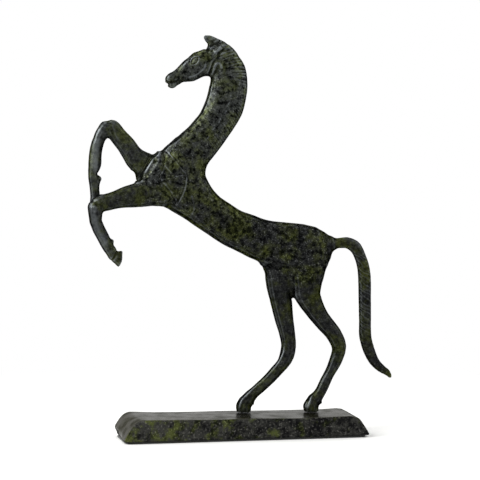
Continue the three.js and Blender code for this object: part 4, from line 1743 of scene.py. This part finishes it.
@dataclass
class Base:
    """The bar that the horse stands on, with softened edges and its top polished.

    Lengths are millimetres. Levels are heights above the floor, and ends are distances from the bar's middle.
    A facing is a part of the surface's outward direction, from -1 to 1.
    """

    node: str = "base_casting"
    voxel: float = 0.45 * MM
    rounds: int = 30
    pull: float = 0.5
    push: float = 0.46
    swell: float = 0.14
    swell_wave: float = 34.0
    face_lump: float = 0.16
    face_wave: float = 5.0
    face_facing: tuple[float, float] = (0.5, 0.9)
    lip: float = 0.6
    lip_level: float = 10.2
    lip_width: float = 2.8
    lip_facing: tuple[float, float] = (0.2, 0.7)
    rise: float = 0.5
    rise_ends: tuple[float, float] = (42, 54)
    rise_levels: tuple[float, float] = (6, 11)
    rise_in_front: float = 0.4
    skew: float = 1.6
    skew_ends: tuple[float, float] = (42, 58)
    skew_levels: tuple[float, float] = (1.5, 6)
    foot_skew: float = 1.3
    foot_levels: tuple[float, float] = (5, 1)
    hooves: Path = ((3.0, 7.0), (37.4, 4.0))
    hoof_room: tuple[float, float] = (4.5, 9.0)
    bores_within: float = 50
    bore_facing: float = 0.3
    under_facing: float = -0.5
    # Which faces are marked polished: the top, and the left end as painted light
    polish_and_light_facing: tuple[float, float] = (0.35, 0.8)
    polish_and_light_above: float = -0.2
    polish_and_light_edge: tuple[float, float] = (0.45, 0.15)
    finish: PolishedCastBronze = field(default_factory=PolishedCastBronze)
    piece: bpy.types.Object | None = None

    def build(self) -> None:
        """Round the edges of a copy of the casting and give it the unevenness of the mould and the file.

        As on a bar that was worked with a file by hand, the ends of the top rise a little, most at the back,
        and at the back of the left end the top is drawn out and the foot in. A long low swell on top, which
        dies out round the hooves, and a shorter one on the faces in front and behind take a little away. A
        bell of the height above the floor fills out the slope of the right end. The underside and its bores
        stay as they are. The top is marked as polished, and the left end, which faces the key lamp, gets the
        same mark as painted light.
        """
        mesh = remeshed(cad_copy((self.node,)), self.voxel)
        points = evened(points_of(mesh), edges_of(mesh), self.rounds, self.pull, self.push)
        at = points / MM
        end, level = np.abs(at[:, 0]), at[:, 2]
        half_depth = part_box(self.node)[1][1] / MM
        back = ramp(at[:, 1], -half_depth, half_depth)
        left = ramp(-at[:, 0], *self.skew_ends)
        skewed = self.skew * ramp(level, *self.skew_levels) - self.foot_skew * ramp(level, *self.foot_levels)
        points[:, 0] -= MM * skewed * back * left
        risen = ramp(end, *self.rise_ends) * ramp(level, *self.rise_levels)
        points[:, 2] += MM * self.rise * risen * (self.rise_in_front + (1 - self.rise_in_front) * back)
        put_points(mesh, points)
        facing = normals_of(mesh)
        along, across, up = facing.T
        open_top = np.ones(len(at))
        for hoof in self.hooves:
            open_top *= ramp(np.linalg.norm(at[:, :2] - np.array(hoof), axis=1), *self.hoof_room)
        height = -self.swell * (1 + ripple(at, self.swell_wave)) * open_top
        lumps = 1 + ripple(at, self.face_wave)
        height -= self.face_lump * ramp(np.abs(across), *self.face_facing) * lumps
        height += self.lip * bell(level - self.lip_level, self.lip_width) * ramp(along, *self.lip_facing)
        in_bore = (end < self.bores_within) & (np.abs(along) > self.bore_facing)
        untouched = (up < self.under_facing) | in_bore
        put_points(mesh, inside_box(points + MM * (height * ~untouched)[:, None] * facing))
        # The top is polished; the left end, which faces the key lamp, gets the same mark as painted light
        polish_and_light_share = ramp(up - along, *self.polish_and_light_facing) * (up > self.polish_and_light_above)
        polish_and_light_share *= ramp(np.abs(across), *self.polish_and_light_edge)
        put_values(mesh, POLISH_AND_LIGHT, polish_and_light_share)
        self.piece = new_piece("base_bronze", mesh, self.node)

    def dress(self) -> None:
        """Give the base its polished bronze."""
        self.piece.data.materials.clear()
        self.piece.data.materials.append(self.finish.material())


@dataclass
class FeltPad:
    """The felt glued under the base, cut to a rectangle with rounded corners."""

    node: str = "felt_pad"
    corner: float = 5 * MM
    rows: int = 40
    around: int = 240
    rim: int = 8
    middle_share: float = 0.02
    edge_share: float = 0.985
    fuzz: float = 0.03
    fuzz_wave: float = 1.3
    finish: PressedFelt = field(default_factory=PressedFelt)
    piece: bpy.types.Object | None = None

    def build(self) -> None:
        """Make the pad as rings from the middle of its top, over its edge, to the middle of its underside.

        A ring is the pad's outline, drawn in towards the pad's long middle line by a share. The outline is a
        rectangle whose corners are quarter circles. The height falls from the top to the underside along half
        of a flattened circle at the edge.
        """
        low, high = (np.array(corner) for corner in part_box(self.node))
        half = (high - low)[:2] / 2
        middle = (high + low) / 2
        turn = np.linspace(0, 2 * np.pi, self.around, endpoint=False)
        # A hair past the axes, every point is in one quarter
        past = turn + 1e-9
        quarter = np.sign(np.stack([np.cos(past), np.sin(past)], 1))
        outline = quarter * (half - self.corner) + self.corner * np.stack([np.cos(turn), np.sin(turn)], 1)
        line_end = half[0] - half[1]
        spine = np.stack([np.clip(outline[:, 0], -line_end, line_end), np.zeros(self.around)], 1)
        inner = np.linspace(self.middle_share, self.edge_share, self.rows)
        bend = np.linspace(0, np.pi, self.rim)[1:-1]
        outer = self.edge_share + (1 - self.edge_share) * np.sin(bend)
        share = np.concatenate([inner, outer, inner[::-1]])
        rise = np.concatenate([np.ones(self.rows), np.cos(bend), -np.ones(self.rows)])
        flat = spine[None] + share[:, None, None] * (outline - spine)[None]
        thick = (high[2] - low[2]) / 2
        level = np.broadcast_to(middle[2] + thick * rise[:, None], flat.shape[:2])
        rings = np.concatenate([flat + middle[:2], level[..., None]], 2)
        points = rings.reshape(-1, 3)
        inward = 1 + ripple(points / MM, self.fuzz_wave)
        points[:, 2] -= MM * self.fuzz * inward * np.repeat(rise, self.around) / 2
        number = np.arange(len(rings) * self.around).reshape(len(rings), self.around)
        following = np.roll(number, -1, 1)
        faces = np.stack([number[:-1], number[1:], following[1:], following[:-1]], -1).reshape(-1, 4)
        mesh = mesh_from(inside_box(points), faces, "felt")
        work = bmesh.new()
        work.from_mesh(mesh)
        bmesh.ops.holes_fill(work, edges=[edge for edge in work.edges if edge.is_boundary])
        bmesh.ops.recalc_face_normals(work, faces=work.faces)
        work.to_mesh(mesh)
        work.free()
        mesh.shade_smooth()
        self.piece = new_piece("felt_sheet", mesh, self.node)

    def dress(self) -> None:
        """Give the pad its felt."""
        self.piece.data.materials.append(self.finish.material())


@dataclass
class Fasteners:
    """The hidden steel: dowels in the joints, and a stud, washer and nut under each hind hoof."""

    words: tuple[str, ...] = ("dowel", "stud", "washer", "nut")
    finish: TurnedSteel = field(default_factory=TurnedSteel)

    def dress(self) -> None:
        """Give the CAD nodes of the fasteners their steel."""
        material = self.finish.material()
        for name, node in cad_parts.items():
            if name.endswith(self.words):
                node.data.materials.clear()
                node.data.materials.append(material)
                LOG.info("%s: steel", name)


@dataclass(frozen=True)
class Lamp:
    """A square soft light: its place in degrees round and up, distance and side in metres, and watts."""

    name: str
    azimuth: float
    elevation: float
    away: float
    size: float
    watts: float


@dataclass
class Studio:
    """A white sweep, soft lights and the camera at the photograph's angle, in metres and degrees."""

    target: tuple[float, float, float] = (-0.0008, 0.0, 0.0991)
    azimuth: float = -12.0
    elevation: float = 4.0
    distance: float = 1.3
    lens: float = 195.0
    sensor: float = 36.0
    clip: tuple[float, float] = (0.01, 50.0)
    floor_size: float = 6.0
    floor_colour: str = "#f4f4f2"
    fade_from: float = 0.12
    fade_to: float = 0.3
    surround: float = 0.55
    lamps: tuple[Lamp, ...] = (
        Lamp("key", azimuth=-78, elevation=32, away=0.8, size=0.5, watts=6.5),
        Lamp("fill", azimuth=70, elevation=25, away=1.2, size=0.7, watts=3),
        Lamp("top", azimuth=170, elevation=70, away=1.1, size=0.7, watts=5),
    )

    def place(
        self, thing: bpy.types.Camera | bpy.types.Light, azimuth: float, elevation: float, away: float
    ) -> bpy.types.Object:
        """Put a camera or a light where it looks at the object.

        Args:
            thing: The camera or the light.
            azimuth: Where it stands, in degrees round from the front.
            elevation: Where it stands, in degrees up.
            away: Its distance in metres.

        Returns:
            The new object.
        """
        turn, lift = np.radians(azimuth), np.radians(elevation)
        out = Vector((np.sin(turn) * np.cos(lift), -np.cos(turn) * np.cos(lift), np.sin(lift)))
        holder = bpy.data.objects.new(thing.name, thing)
        holder.location = Vector(self.target) + out * away
        holder.rotation_euler = (-out).to_track_quat("-Z", "Y").to_euler()
        bpy.context.scene.collection.objects.link(holder)
        return holder

    def place_camera(self) -> None:
        """Put the camera where the photograph was taken from."""
        camera = bpy.data.cameras.new("camera")
        camera.lens = self.lens
        camera.sensor_width = self.sensor
        camera.clip_start, camera.clip_end = self.clip
        bpy.context.scene.camera = self.place(camera, self.azimuth, self.elevation, self.distance)

    def hang(self, lamp: Lamp) -> None:
        """Hang a light that points at the object.

        Args:
            lamp: The light.
        """
        light = bpy.data.lights.new(lamp.name, "AREA")
        light.shape = "SQUARE"
        light.size = lamp.size
        light.energy = lamp.watts
        self.place(light, lamp.azimuth, lamp.elevation, lamp.away)

    def seen_white(self, tree: bpy.types.NodeTree) -> Any:
        """Tell what is seen from what only lights things.

        Args:
            tree: The node tree of the floor or the world.

        Returns:
            1 for what the camera, a reflection or clear glass sees, and 0 for light that falls on things.
        """
        camera, glossy, clear = (
            add(tree, "LightPath", {}, f"Is {kind} Ray") for kind in ("Camera", "Glossy", "Transmission")
        )
        return add(tree, "Math", {0: add(tree, "Math", {0: camera, 1: glossy}, **LARGER), 1: clear}, **LARGER)

    def lay_floor(self) -> None:
        """Lay a pale floor that takes the object's shadow and turns to the background's white further out."""
        half = self.floor_size / 2
        corners = np.array([[-half, -half, 0], [half, -half, 0], [half, half, 0], [-half, half, 0]])
        floor = bpy.data.objects.new("floor", mesh_from(corners, np.array([[0, 1, 2, 3]]), "floor"))
        bpy.context.scene.collection.objects.link(floor)
        material = bpy.data.materials.new("pale_paper_sweep")
        tree = empty_tree(material)
        away = add(tree, "VectorMath", {0: add(tree, "TexCoord", {}, "Object")}, "Value", operation="LENGTH")
        far = add(tree, "MapRange", {0: away, 1: self.fade_from, 2: self.fade_to}, **SMOOTH)
        fade = add(tree, "Math", {0: far, 1: self.seen_white(tree)}, **TIMES)
        paper = add(tree, "BsdfDiffuse", {"Color": linear(self.floor_colour)})
        white = add(tree, "Emission", {"Strength": 1.0})
        add(tree, "OutputMaterial", {"Surface": add(tree, "MixShader", {0: fade, 1: paper, 2: white})})
        floor.data.materials.append(material)

    def surround_white(self) -> None:
        """Make the background white to the eye, and a softer fill light to everything else."""
        world = bpy.data.worlds.new("studio")
        tree = empty_tree(world)
        strength = add(tree, "MapRange", {0: self.seen_white(tree), 3: self.surround, 4: 1.0})
        light = add(tree, "Background", {"Color": (1, 1, 1, 1), "Strength": strength})
        add(tree, "OutputWorld", {"Surface": light})
        bpy.context.scene.world = world

    def build(self) -> None:
        """Set up the camera, floor, background and lights."""
        bpy.context.scene.view_settings.view_transform = "Standard"
        self.place_camera()
        self.lay_floor()
        self.surround_white()
        for lamp in self.lamps:
            self.hang(lamp)


def main() -> None:
    """Build and dress every sub-assembly in order, and set up the studio."""
    logging.basicConfig(level=logging.INFO, format="%(name)s: %(message)s")
    for part in (Horse(), Base(), FeltPad()):
        part.build()
        part.dress()
    Fasteners().dress()
    Studio().build()


if __name__ == "__main__":
    main()
